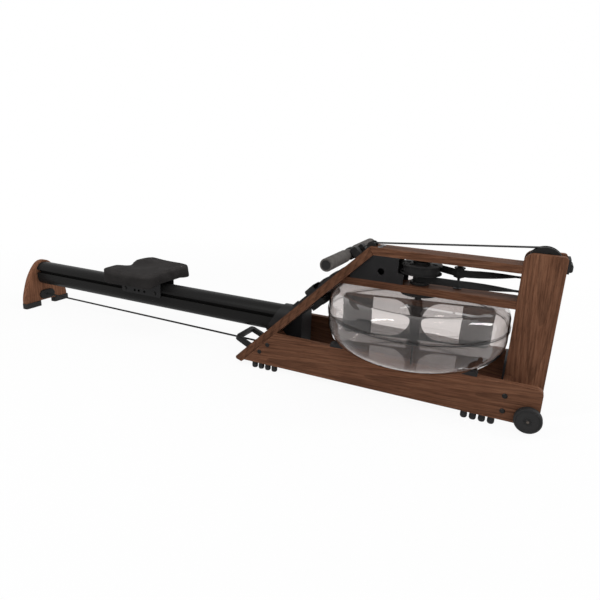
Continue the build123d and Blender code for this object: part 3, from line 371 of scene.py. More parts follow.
def walnut_effect():
    """Growth rings round the X axis, streaks and pores of a board whose grain runs along X."""
    f = bpy.context.scene.rower_finishes
    group, source, sink = effect("walnut figure", [
        ("Colour", "NodeSocketColor"), ("Roughness", "NodeSocketFloat"), ("Height", "NodeSocketFloat"),
    ])
    group.interface.new_socket("Tone", in_out="INPUT", socket_type="NodeSocketFloat")
    at = source.outputs["Position"]
    rings = group.nodes.new("ShaderNodeTexWave")
    rings.wave_type = "RINGS"
    rings.rings_direction = "X"
    rings.wave_profile = "SAW"
    rings.inputs["Scale"].default_value = 38.0
    rings.inputs["Distortion"].default_value = 3.2
    rings.inputs["Detail"].default_value = 3.0
    rings.inputs["Detail Scale"].default_value = 0.45
    rings.inputs["Detail Roughness"].default_value = 0.5
    group.links.new(stretch(group, at, (0.16, 1.0, 1.0)), rings.inputs["Vector"])
    streaks = noise(group, stretch(group, at, (0.03, 1.0, 1.0)), 230.0, 4.0, 0.6)
    clouds = noise(group, stretch(group, at, (0.2, 1.0, 1.0)), 16.0, 3.0, 0.5)
    pores = noise(group, stretch(group, at, (0.03, 1.0, 1.0)), 800.0, 2.0, 0.5)
    base = ramp(group, [(0.2, f.walnut_dark), (0.5, f.walnut_mid), (0.85, f.walnut_light)])
    group.links.new(streaks, base.inputs["Fac"])
    ring_tone = ramp(group, [(0.0, grey(1.1)), (0.55, grey(1.0)), (0.9, grey(0.66)), (1.0, grey(0.8))])
    group.links.new(rings.outputs["Fac"], ring_tone.inputs["Fac"])
    colour = mix_colour(group, "MULTIPLY", 0.8, base.outputs["Color"], ring_tone.outputs["Color"])
    cloud_tone = ramp(group, [(0.3, (0.80, 0.77, 0.76)), (0.7, (1.2, 1.19, 1.17))])
    group.links.new(clouds, cloud_tone.inputs["Fac"])
    colour = mix_colour(group, "MULTIPLY", 0.9, colour, cloud_tone.outputs["Color"])
    pore_tone = ramp(group, [(0.30, grey(0.5)), (0.42, grey(1.0))])
    group.links.new(pores, pore_tone.inputs["Fac"])
    colour = mix_colour(group, "MULTIPLY", 0.8, colour, pore_tone.outputs["Color"])
    # The Tone input multiplies the colour: painted light on lit boards, painted shade on shaded ones
    colour = mix_colour(group, "MULTIPLY", 1.0, colour, source.outputs["Tone"])
    group.links.new(colour, sink.inputs["Colour"])
    group.links.new(spread(group, streaks, 0.66, 0.52), sink.inputs["Roughness"])
    pore_depth = arith(group, "MULTIPLY", pore_tone.outputs["Color"], 0.6)
    depth = arith(group, "ADD", pore_depth, arith(group, "MULTIPLY", streaks, 0.5))
    group.links.new(depth, sink.inputs["Height"])
    return group


def walnut(name, group, turn, pith, tone=1.0):
    """Oiled walnut; turn brings the grain to X, and pith is a point on the middle of the tree."""
    material, tree, surface, place = shader("walnut " + name, 0.05)
    turn = Euler([math.radians(a) for a in turn])
    mapping = tree.nodes.new("ShaderNodeMapping")
    mapping.inputs["Rotation"].default_value = turn
    mapping.inputs["Location"].default_value = -(turn.to_matrix() @ pith)
    tree.links.new(place, mapping.inputs["Vector"])
    figure = use(tree, group, mapping.outputs["Vector"])
    # The tone scales this board's colour: above 1 it is painted light, below 1 it is painted shade
    figure.inputs["Tone"].default_value = tone
    tree.links.new(figure.outputs["Colour"], surface.inputs["Base Color"])
    tree.links.new(figure.outputs["Roughness"], surface.inputs["Roughness"])
    bump(tree, surface, figure.outputs["Height"], 0.25, 0.0004)
    paint([name], material)


def grain_effect():
    """Fine moulded or painted grain."""
    group, source, sink = effect("fine grain", [
        ("Tone", "NodeSocketFloat"), ("Roughness", "NodeSocketFloat"), ("Height", "NodeSocketFloat"),
    ])
    at = source.outputs["Position"]
    fine = noise(group, at, 1.0, 2.0, 0.5)
    wide = noise(group, stretch(group, at, (0.02, 0.02, 0.02)), 1.0, 3.0, 0.55)
    group.links.new(spread(group, wide, 0.75, 1.25), sink.inputs["Tone"])
    group.links.new(wide, sink.inputs["Roughness"])
    group.links.new(fine, sink.inputs["Height"])
    return group


def grained(name, group, colour, rough, grain, relief, metallic=0.0, along=(1.0, 1.0, 1.0), gloss=0.15):
    """A dark finish with a fine relief; grain is its cells per metre."""
    material, tree, surface, place = shader(name, gloss)
    at = stretch(tree, place, [grain * a for a in along])
    detail = use(tree, group, at)
    tone = mix_colour(tree, "MULTIPLY", 1.0, tuple(colour), detail.outputs["Tone"])
    tree.links.new(tone, surface.inputs["Base Color"])
    rough_range = spread(tree, detail.outputs["Roughness"], rough - 0.1, rough + 0.1)
    tree.links.new(rough_range, surface.inputs["Roughness"])
    surface.inputs["Metallic"].default_value = metallic
    bump(tree, surface, detail.outputs["Height"], relief, 0.0003)
    return material


def weave(name, colour, rib_along, rib_across):
    """Woven webbing: fine ribs across and along the strap."""
    material, tree, surface, place = shader(name)
    waves = []
    for axis, pitch in (("X", rib_along), ("Y", rib_across), ("Z", rib_along)):
        node = tree.nodes.new("ShaderNodeTexWave")
        node.bands_direction = axis
        node.inputs["Scale"].default_value = 2 * math.pi / 20 / pitch
        tree.links.new(place, node.inputs["Vector"])
        waves.append(node.outputs["Fac"])
    cross = arith(tree, "MULTIPLY", waves[0], waves[1])
    threads = arith(tree, "ADD", cross, arith(tree, "MULTIPLY", waves[2], 0.5))
    tree.links.new(shaded(tree, threads, colour, 0.6, 1.7), surface.inputs["Base Color"])
    surface.inputs["Roughness"].default_value = 0.8
    bump(tree, surface, threads, 0.5, 0.0003)
    return material


def braid(name, colour):
    """Braided cover of the shock cord."""
    material, tree, surface, place = shader(name)
    slants = []
    for way in (1.0, -1.0):
        node = tree.nodes.new("ShaderNodeTexWave")
        node.bands_direction = "DIAGONAL"
        node.inputs["Scale"].default_value = 110.0
        tree.links.new(stretch(tree, place, (1.0, way, 1.0)), node.inputs["Vector"])
        slants.append(node.outputs["Fac"])
    threads = arith(tree, "MULTIPLY", slants[0], slants[1])
    tree.links.new(shaded(tree, threads, colour, 0.7, 2.0), surface.inputs["Base Color"])
    surface.inputs["Roughness"].default_value = 0.7
    bump(tree, surface, threads, 0.6, 0.0004)
    return material


def foam(name, colour):
    """Closed-cell foam of the grips."""
    material, tree, surface, place = shader(name)
    cells = tree.nodes.new("ShaderNodeTexVoronoi")
    cells.inputs["Scale"].default_value = 900.0
    tree.links.new(place, cells.inputs["Vector"])
    blotch = noise(tree, place, 60.0, 3.0, 0.6)
    tree.links.new(shaded(tree, blotch, colour, 0.8, 1.25, 0.3, 0.7), surface.inputs["Base Color"])
    surface.inputs["Roughness"].default_value = 0.78
    bump(tree, surface, cells.outputs["Distance"], 0.25, 0.0004)
    return material


def seat_skin(name, colour, rim):
    """Matte moulded skin with a leather grain, with painted shade on the sides below the height of the rim
    and painted light on the top above it.
    """
    material, tree, surface, place = shader(name, 0.03)
    cells = tree.nodes.new("ShaderNodeTexVoronoi")
    cells.feature = "DISTANCE_TO_EDGE"
    cells.inputs["Scale"].default_value = 420.0
    tree.links.new(place, cells.inputs["Vector"])
    wear = noise(tree, place, 22.0, 3.0, 0.55)
    tone = shaded(tree, wear, colour, 0.82, 1.2, 0.3, 0.7)
    # Painted light and shade: the colour is darker below the rim's height and lighter above it, as if the top
    # were lit and the sides shaded
    height = tree.nodes.new("ShaderNodeSeparateXYZ")
    tree.links.new(place, height.inputs[0])
    painted_light_by_height = spread(tree, height.outputs["Z"], 0.72, 1.12)
    painted_light_by_height.node.inputs["From Min"].default_value = rim - 0.006
    painted_light_by_height.node.inputs["From Max"].default_value = rim + 0.004
    skin = mix_colour(tree, "MULTIPLY", 1.0, tone, painted_light_by_height)
    tree.links.new(skin, surface.inputs["Base Color"])
    tree.links.new(spread(tree, wear, 0.82, 0.68), surface.inputs["Roughness"])
    bump(tree, surface, cells.outputs["Distance"], 0.18, 0.0006)
    return material


def see_through(tree, surface, tint):
    """Lets lamp light pass a clear piece with a tint, so that what is behind it isn't black."""
    out = tree.nodes["Material Output"]
    clear = tree.nodes.new("ShaderNodeBsdfTransparent")
    clear.inputs["Color"].default_value = (*tint, 1.0)
    path = tree.nodes.new("ShaderNodeLightPath")
    both = tree.nodes.new("ShaderNodeMixShader")
    tree.links.new(path.outputs["Is Shadow Ray"], both.inputs["Fac"])
    tree.links.new(surface.outputs["BSDF"], both.inputs[1])
    tree.links.new(clear.outputs["BSDF"], both.inputs[2])
    tree.links.new(both.outputs["Shader"], out.inputs["Surface"])


def clear_tank(name, colour):
    """Clear plastic with a smoke tint that deepens where the wall is seen edge on."""
    material, tree, surface, place = shader(name, 0.5)
    surface.inputs["Base Color"].default_value = (*colour, 1.0)
    surface.inputs["Transmission Weight"].default_value = 1.0
    surface.inputs["IOR"].default_value = 1.4
    haze = noise(tree, place, 9.0, 3.0, 0.5)
    tree.links.new(spread(tree, haze, 0.0, 0.03), surface.inputs["Roughness"])
    smoke = tree.nodes.new("ShaderNodeVolumeAbsorption")
    smoke.inputs["Color"].default_value = (0.47, 0.44, 0.43, 1.0)
    smoke.inputs["Density"].default_value = 85.0
    tree.links.new(smoke.outputs["Volume"], tree.nodes["Material Output"].inputs["Volume"])
    see_through(tree, surface, (0.88, 0.87, 0.87))
    return material


def smoke_blades(name, colour, axis, hub_radius):
    """Smoke grey clear plastic round a dark hub; axis is a point on the upright shaft."""
    material, tree, surface, place = shader(name, 0.5)
    flat = tree.nodes.new("ShaderNodeVectorMath")
    flat.operation = "SUBTRACT"
    flat.inputs[1].default_value = axis
    tree.links.new(place, flat.inputs[0])
    reach = tree.nodes.new("ShaderNodeVectorMath")
    reach.operation = "LENGTH"
    tree.links.new(stretch(tree, flat.outputs[0], (1.0, 1.0, 0.0)), reach.inputs[0])
    edge = spread(tree, reach.outputs["Value"], 0.0, 1.0)
    edge.node.inputs["From Min"].default_value = hub_radius
    edge.node.inputs["From Max"].default_value = hub_radius * 1.1
    cloud = noise(tree, place, 11.0, 3.0, 0.5)
    tone = shaded(tree, cloud, colour, 0.86, 1.14, 0.3, 0.7)
    hub_colour = (0.05, 0.048, 0.048)
    tree.links.new(mix_colour(tree, "MIX", edge, hub_colour, tone), surface.inputs["Base Color"])
    surface.inputs["Transmission Weight"].default_value = 1.0
    surface.inputs["IOR"].default_value = 1.2
    tree.links.new(spread(tree, cloud, 0.02, 0.10), surface.inputs["Roughness"])
    see_through(tree, surface, (0.5, 0.49, 0.49))
    return material


class ROWER_OT_boards(bpy.types.Operator):
    """Gives each wooden board its walnut, with the grain along the board"""

    bl_idname = "rower.boards"
    bl_label = "Walnut boards"

    def execute(self, context):
        figure = walnut_effect()
        deep = 0.045
        # Each board with its grain's turn in degrees, the way to the tree's middle in metres, and its tone, a
        # brightness factor that paints light on lit boards and shade on shaded ones
        for name, turn, behind, tone in (
            ("base_board_near", (0, 4, 1.5), (-0.25, deep, -0.03), 1.0),
            ("base_board_far", (0, -3, -1.5), (0.1, -deep, 0.02), 0.75),
            ("top_deck", (0, 1.5, 3), (0.1, 0.01, -deep), 1.0),
            ("mid_deck", (0, -1.5, 2), (-0.2, -0.01, -deep), 1.0),
            ("upright_near", (0, 92, 2.5), (0.012, deep, 0.1), 1.12),
            ("upright_far", (0, 88, -2), (-0.01, -deep, 0.05), 1.1),
            ("rear_leg", (0, 92, 0), (-deep, 0.01, 0.1), 1.5),
            ("front_cross_beam", (0, 0, -92), (deep, 0.1, 0.0), 1.0),
            ("footboard_cleats", (0, 0, -88), (deep, 0.1, 0.0), 0.9),
            ("footboard", (0, 47, 2), (0.03, 0.02, -0.03), 0.78),
        ):
            low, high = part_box(name)
            walnut(name, figure, turn, (low + high) / 2 + Vector(behind), tone)
        return {"FINISHED"}


class ROWER_OT_dark_finishes(bpy.types.Operator):
    """Gives the black plastic, steel, rail and rubber pieces their finishes"""

    bl_idname = "rower.dark_finishes"
    bl_label = "Dark finishes"

    def execute(self, context):
        f = context.scene.rower_finishes
        group = grain_effect()
        plastic = grained("moulded plastic", group, f.plastic, rough=0.52, grain=1600.0, relief=0.10)
        paint(BLACK_PLASTIC, plastic)
        paint(BLACK_STEEL, grained("powder coat", group, f.steel, rough=0.46, grain=700.0, relief=0.14))
        drawn = (0.02, 1.0, 1.0)
        rail = grained(
            "anodised rail", group, f.rail, rough=0.36, grain=900.0, relief=0.05, along=drawn, gloss=0.07,
        )
        paint(["monorail"], rail)
        paint(RUBBER, grained("rubber", group, f.rubber, rough=0.72, grain=1100.0, relief=0.16))
        oxide = (0.024, 0.0235, 0.023)
        steel = grained("black oxide steel", group, oxide, rough=0.4, grain=1300.0, relief=0.06, metallic=1.0)
        paint(DARK_STEEL, steel)
        return {"FINISHED"}


class ROWER_OT_tank(bpy.types.Operator):
    """Makes the tank shells clear and finishes the paddle"""

    bl_idname = "rower.tank"
    bl_label = "Water tank"

    def execute(self, context):
        f = context.scene.rower_finishes
        paint(["tank_lower", "tank_upper"], clear_tank("smoked clear plastic", f.tank))
        low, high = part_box("paddle")
        axis = (low + high) / 2
        self.paddle(axis, smoke_blades("smoke grey plastic", f.paddle, axis, PADDLE_HUB))
        return {"FINISHED"}

    def paddle(self, axis, plastic):
        """The paddle as it has come to rest, one pair of blades broadside to the near side."""
        wheel = copy_node("paddle", "paddle_wheel")
        edit(wheel)
        bpy.ops.transform.rotate(value=PADDLE_REST, orient_axis="Z", center_override=axis)
        leave_edit()
        round_edges(wheel, 0.0005, 2)
        smooth(wheel, 35)
        settle(wheel, "paddle_wheel", plastic)
        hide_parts("paddle")
        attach(wheel, "paddle")


class ROWER_OT_seat(bpy.types.Operator):
    """Models the seat pad as a swollen foam piece over the CAD solid"""

    bl_idname = "rower.seat"
    bl_label = "Seat pad"

    def execute(self, context):
        f = context.scene.rower_finishes
        sizes = context.scene.rower_sizes
        pad = copy_node("seat_pad", "seat_foam")
        remesh = pad.modifiers.new("cells", "REMESH")
        remesh.mode = "VOXEL"
        remesh.voxel_size = sizes.seat_voxel
        apply_modifiers(pad)
        low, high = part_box("seat_pad")
        ease = pad.modifiers.new("ease", "SMOOTH")
        ease.factor = 0.5
        ease.iterations = 4
        apply_modifiers(pad)
        self.fill_box(pad, low, high, sizes.seat_swell * 0.5)
        self.crown(pad, low, high)
        self.flare(pad, low, high)
        self.swell(context, pad, sizes.seat_swell)
        finer = pad.modifiers.new("finer", "SUBSURF")
        finer.levels = 1
        finer.render_levels = 1
        apply_modifiers(pad)
        only(pad)
        bpy.ops.object.shade_smooth()
        # Height above the pad's bottom where the painted shade of the sides gives way to the painted light of
        # the top
        rim_height = 0.035
        settle(pad, "seat_foam", seat_skin("seat skin", f.seat, low.z + rim_height))
        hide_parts("seat_pad")
        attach(pad, "seat")
        return {"FINISHED"}

    def fill_box(self, pad, low, high, inset):
        """Brings the eased shape back out to its box, less the room it needs to swell."""
        points = [v.co for v in pad.data.vertices]
        for axis in range(3):
            least = min(p[axis] for p in points)
            most = max(p[axis] for p in points)
            room = inset if axis < 2 else inset * 0.5
            grow = (high[axis] - low[axis] - 2 * room) / (most - least)
            for p in points:
                p[axis] = low[axis] + room + (p[axis] - least) * grow

    def crown(self, pad, low, high):
        """Gives the top two broad lobes that run down straight from the rear to the front edge."""
        rim = 0.03
        root = low.z + 0.012
        front_height = 0.0405
        lobe_rise = 0.0065
        groove_drop = 0.0045
        lobe_from = 0.55
        moves = []
        for v in pad.data.vertices:
            x = min(max(v.co.x, low.x + rim), high.x - rim)
            y = min(max(v.co.y, low.y + rim), high.y - rim)
            top = pad.ray_cast(Vector((x, y, high.z + 0.1)), Vector((0, 0, -1)))[1].z
            along = (x - low.x - rim) / (high.x - low.x - 2 * rim)
            side = min(1.0, abs(y) / high.y / lobe_from)
            lobe = side * side * (3 - 2 * side)
            rise = lobe_rise * lobe - groove_drop * (1 - lobe)
            goal = low.z + front_height + rise * (1 - along) ** 1.15
            share = min(1.0, max(0.0, (v.co.z - root) / (top - root)))
            moves.append(share * (goal - top))
        for v, move in zip(pad.data.vertices, moves):
            v.co.z += move

    def flare(self, pad, low, high):
        """Lets the rim spread forward and hang a little beside the carriage."""
        middle = (low + high) / 2
        rim = 0.045
        beside = 0.065
        blend = 0.05
        forward = 0.008
        hang = 0.009
        for v in pad.data.vertices:
            down = min(1.0, max(0.0, 1 - (v.co.z - low.z) / rim))
            ahead = max(0.0, (v.co.x - middle.x) / (high.x - middle.x))
            aside = min(1.0, max(0.0, (abs(v.co.y) - beside) / blend))
            v.co.x += forward * down * ahead
            v.co.z -= hang * down * aside

    def swell(self, context, pad, limit):
        """Blows the foam up a little with cloth, and caps how far a point moves."""
        start = [v.co.copy() for v in pad.data.vertices]
        low = min(p.z for p in start)
        cloth = pad.modifiers.new("swell", "CLOTH")
        cloth.settings.use_pressure = True
        cloth.settings.uniform_pressure_force = 4.0
        cloth.settings.effector_weights.gravity = 0.0
        for step in range(1, 15):
            context.scene.frame_set(step)
        apply_modifiers(pad)
        context.scene.frame_set(1)
        for vertex, rest in zip(pad.data.vertices, start):
            move = vertex.co - rest
            if move.length > limit:
                move = move.normalized() * limit
            at = rest + move
            at.z = max(at.z, low)
            vertex.co = at


class ROWER_OT_grips(bpy.types.Operator):
    """Models the two foam grips over the handle bar"""

    bl_idname = "rower.grips"
    bl_label = "Handle grips"

    def execute(self, context):
        f = context.scene.rower_finishes
        sizes = context.scene.rower_sizes
        skin = foam("grip foam", f.foam)
        for side in ("near", "far"):
            low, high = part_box("handle_grip_" + side)
            out = -1.0 if side == "near" else 1.0
            inner = high.y if out < 0 else low.y
            tip = low.y if out < 0 else high.y
            middle = (low + high) / 2
            grip = self.sleeve(middle, inner, tip, out, (high.z - low.z) / 2, sizes.grip_radius)
            self.cap(grip, out, sizes.grip_radius, sizes.grip_round)
            smooth(grip, 40)
            settle(grip, "grip_" + side, skin)
            self.plug(side, middle, sizes.grip_radius, tip, out)
            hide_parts("handle_grip_" + side)
            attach(grip, "handle")
        return {"FINISHED"}

    def sleeve(self, middle, inner, tip, out, slim, radius):
        """A foam sleeve that is slim where it leans on the rest and fuller where it is held."""
        start = out * 0.058
        taper = 0.012
        deselect()
        bpy.ops.mesh.primitive_cylinder_add(
            vertices=48, radius=radius, depth=abs(tip - start), rotation=(math.radians(90), 0, 0),
            location=(middle.x, (tip + start) / 2, middle.z),
        )
        grip = bpy.context.object
        bpy.ops.object.transform_apply(location=True, rotation=True, scale=True)
        face_in(grip, Vector((0, -out, 0)))
        neck = (middle.x, start - out * taper, middle.z)
        bpy.ops.mesh.extrude_region_move(TRANSFORM_OT_translate={"value": (0, -out * taper, 0)})
        bpy.ops.transform.resize(value=(slim / radius, 1.0, slim / radius), center_override=neck)
        bpy.ops.mesh.extrude_region_move(TRANSFORM_OT_translate={"value": (0, inner - neck[1], 0)})
        leave_edit()
        return grip

    def cap(self, grip, out, radius, edge):
        """Rounds both ends and sinks a shallow dish in the outer one."""
        edit(grip)
        bpy.ops.mesh.select_all(action="DESELECT")
        leave_edit()
        for face in grip.data.polygons:
            face.select = abs(face.normal.y) > 0.9
        bpy.ops.object.mode_set(mode="EDIT")
        bpy.ops.mesh.select_mode(type="FACE")
        bpy.ops.mesh.bevel(offset=edge, segments=3, profile=0.5)
        bpy.ops.mesh.select_all(action="DESELECT")
        leave_edit()
        tip = max(grip.data.polygons, key=lambda p: p.center.y * out)
        for face in grip.data.polygons:
            face.select = face.index == tip.index
        bpy.ops.object.mode_set(mode="EDIT")
        bpy.ops.mesh.inset(thickness=radius * 0.06)
        bpy.ops.mesh.inset(thickness=radius * 0.05, depth=-radius * 0.06)
        leave_edit()

    def plug(self, side, middle, radius, end, out):
        """The dark plug in the dish of a grip's outer end."""
        sink = radius * 0.06
        deselect()
        bpy.ops.mesh.primitive_cylinder_add(
            vertices=48, radius=radius * 0.70, depth=sink, rotation=(math.radians(90), 0, 0),
            location=(middle.x, end - out * sink * 0.7, middle.z),
        )
        cap = bpy.context.object
        bpy.ops.object.transform_apply(location=True, rotation=True, scale=True)
        face_in(cap, Vector((0, out, 0)))
        bpy.ops.mesh.inset(thickness=radius * 0.12)
        bpy.ops.mesh.inset(thickness=radius * 0.04, depth=-sink * 0.4)
        leave_edit()
        settle(cap, "grip_plug_" + side, bpy.data.materials["moulded plastic"])
        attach(cap, "handle")


class ROWER_OT_fasteners(bpy.types.Operator):
    """Models the hexagon sockets of the bolt heads and the round caps on the top deck"""

    bl_idname = "rower.fasteners"
    bl_label = "Fasteners"

    def execute(self, context):
        sizes = context.scene.rower_sizes
        steel = bpy.data.materials["black oxide steel"]
        group = bpy.data.node_groups["fine grain"]
        brown = (0.105, 0.088, 0.076)
        worn = grained("worn steel", group, brown, rough=0.45, grain=1300.0, relief=0.06, metallic=1.0)
        cups = []
        hubs = []
        for place, out in self.heads():
            kind = hubs if self.on_wheel(place) else cups
            kind.append(self.socket(place, out, sizes.socket_across))
        self.join(cups, "bolt_sockets", steel)
        self.join(hubs, "wheel_bolt_sockets", worn)
        low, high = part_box("top_deck")
        cap_ahead = 0.0295
        cap_aside = 0.017
        caps = []
        for side in (-1.0, 1.0):
            place = Vector((low.x + cap_ahead, side * cap_aside, high.z))
            caps.append(self.cap(place, sizes.cap_radius))
        pale = (0.16, 0.165, 0.175)
        bright = grained("cap steel", group, pale, rough=0.34, grain=1300.0, relief=0.05, metallic=1.0)
        self.join(caps, "deck_caps", bright)
        return {"FINISHED"}

    def heads(self):
        """The middle of each bolt head's face, and the way it looks."""
        bolts = copy_node("frame_bolts", "loose_bolts")
        edit(bolts)
        bpy.ops.mesh.separate(type="LOOSE")
        leave_edit()
        found = []
        for piece in list(bpy.context.selected_objects):
            points = [v.co for v in piece.data.vertices]
            low = Vector([min(p[k] for p in points) for k in range(3)])
            high = Vector([max(p[k] for p in points) for k in range(3)])
            size = high - low
            axis = max(range(3), key=lambda k: size[k])
            way = 1.0 if axis == 1 and low.y > 0 else -1.0
            place = (low + high) / 2
            place[axis] = high[axis] if way > 0 else low[axis]
            out = Vector((0, 0, 0))
            out[axis] = way
            found.append((place, out))
            bpy.data.objects.remove(piece)
        return found

    def on_wheel(self, place):
        for side in ("near", "far"):
            low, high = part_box("wheel_" + side)
            axis = (low + high) / 2
            if (place - axis).length < high.y - low.y:
                return True
        return False

    def socket(self, place, out, across):
        """A hexagon cup that stands for the key socket."""
        deselect()
        turn = Vector((0, 0, 1)).rotation_difference(out).to_euler()
        bpy.ops.mesh.primitive_cylinder_add(
            vertices=6, radius=across / math.sqrt(3), depth=0.0012, location=place, rotation=turn,
        )
        cup = bpy.context.object
        bpy.ops.object.transform_apply(location=True, rotation=True, scale=True)
        face_in(cup, out)
        bpy.ops.mesh.inset(thickness=across * 0.08)
        bpy.ops.mesh.inset(thickness=across * 0.03, depth=-0.0005)
        leave_edit()
        return cup

    def cap(self, place, radius):
        """A flat round cap with a rounded rim and a shallow middle."""
        deselect()
        bpy.ops.mesh.primitive_cylinder_add(vertices=40, radius=radius, depth=0.003, location=place)
        disc = bpy.context.object
        bpy.ops.object.transform_apply(location=True, rotation=True, scale=True)
        face_in(disc, Vector((0, 0, 1)))
        bpy.ops.mesh.bevel(offset=0.0007, segments=3)
        leave_edit()
        face_in(disc, Vector((0, 0, 1)))
        bpy.ops.mesh.inset(thickness=radius * 0.35)
        bpy.ops.mesh.inset(thickness=radius * 0.06, depth=-0.0005)
        leave_edit()
        return disc

    def join(self, pieces, name, material):
        deselect()
        for piece in pieces:
            piece.select_set(True)
        bpy.context.view_layer.objects.active = pieces[0]
        bpy.ops.object.join()
        whole = bpy.context.object
        bpy.ops.object.shade_smooth_by_angle(angle=math.radians(30))
        settle(whole, name, material)
        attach(whole, "frame")


class ROWER_OT_grab_handle(bpy.types.Operator):
    """Models the moulded grab handle at the footboard's lower end"""

    bl_idname = "rower.grab_handle"
    bl_label = "Grab handle"

    def execute(self, context):
        sizes = context.scene.rower_sizes
        loop = copy_node("grab_handle", "grab_loop")
        low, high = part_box("grab_handle")
        middle = (low + high) / 2
        edit(loop)
        bpy.ops.mesh.dissolve_limited(angle_limit=math.radians(2))
        bpy.ops.mesh.select_mode(type="FACE")
        bpy.ops.mesh.select_all(action="DESELECT")
        leave_edit()
        broad = max(loop.data.polygons, key=lambda f: f.area).normal.copy()
        for face in loop.data.polygons:
            inward = (middle - face.center).dot(face.normal) > 0
            face.select = inward and abs(face.normal.dot(broad)) < 0.2 and face.normal.z > -0.6
        bpy.ops.object.mode_set(mode="EDIT")
        bpy.ops.transform.shrink_fatten(value=sizes.grab_fill)
        leave_edit()
        round_edges(loop, 0.0025, 3)
        smooth(loop, 35)
        settle(loop, "grab_loop", bpy.data.materials["moulded plastic"])
        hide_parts("grab_handle")
        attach(loop, "frame")
        return {"FINISHED"}


class ROWER_OT_straps(bpy.types.Operator):
    """Models the drive strap and the recoil strap"""

    bl_idname = "rower.straps"
    bl_label = "Straps"

    def execute(self, context):
        f = context.scene.rower_finishes
        cloth = weave("strap webbing", f.webbing, rib_along=0.0022, rib_across=0.0016)
        self.follow_handle(web_strap("drive_strap", "drive_strap_web", cloth))
        self.follow_coupler(web_strap("recoil_strap", "recoil_strap_web", cloth))
        return {"FINISHED"}

    def follow_handle(self, strap):
        """Bakes the strap's place into its mesh."""
        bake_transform(strap)

    def follow_coupler(self, strap):
        """Bakes the strap's place into its mesh."""
        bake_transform(strap)


class ROWER_OT_shock_cord(bpy.types.Operator):
    """Models the shock cord under the rail"""

    bl_idname = "rower.shock_cord"
    bl_label = "Shock cord"

    def execute(self, context):
        f = context.scene.rower_finishes
        cord = copy_node("bungee", "shock_cord")
        edit(cord)
        bpy.ops.transform.shrink_fatten(value=context.scene.rower_sizes.cord_swell)
        leave_edit()
        smooth(cord, 50)
        settle(cord, "shock_cord", braid("braided cord", f.webbing))
        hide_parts("bungee")
        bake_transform(cord)
        return {"FINISHED"}


class ROWER_OT_foot_straps(bpy.types.Operator):
    """Models the foot straps"""

    bl_idname = "rower.foot_straps"
    bl_label = "Foot straps"

    def execute(self, context):
        f = context.scene.rower_finishes
        cloth = weave("foot webbing", f.webbing, rib_along=0.003, rib_across=0.003)
        for side in ("near", "far"):
            strap = web_strap("foot_strap_" + side, "foot_web_" + side, cloth)
            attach(strap, "frame")
        return {"FINISHED"}


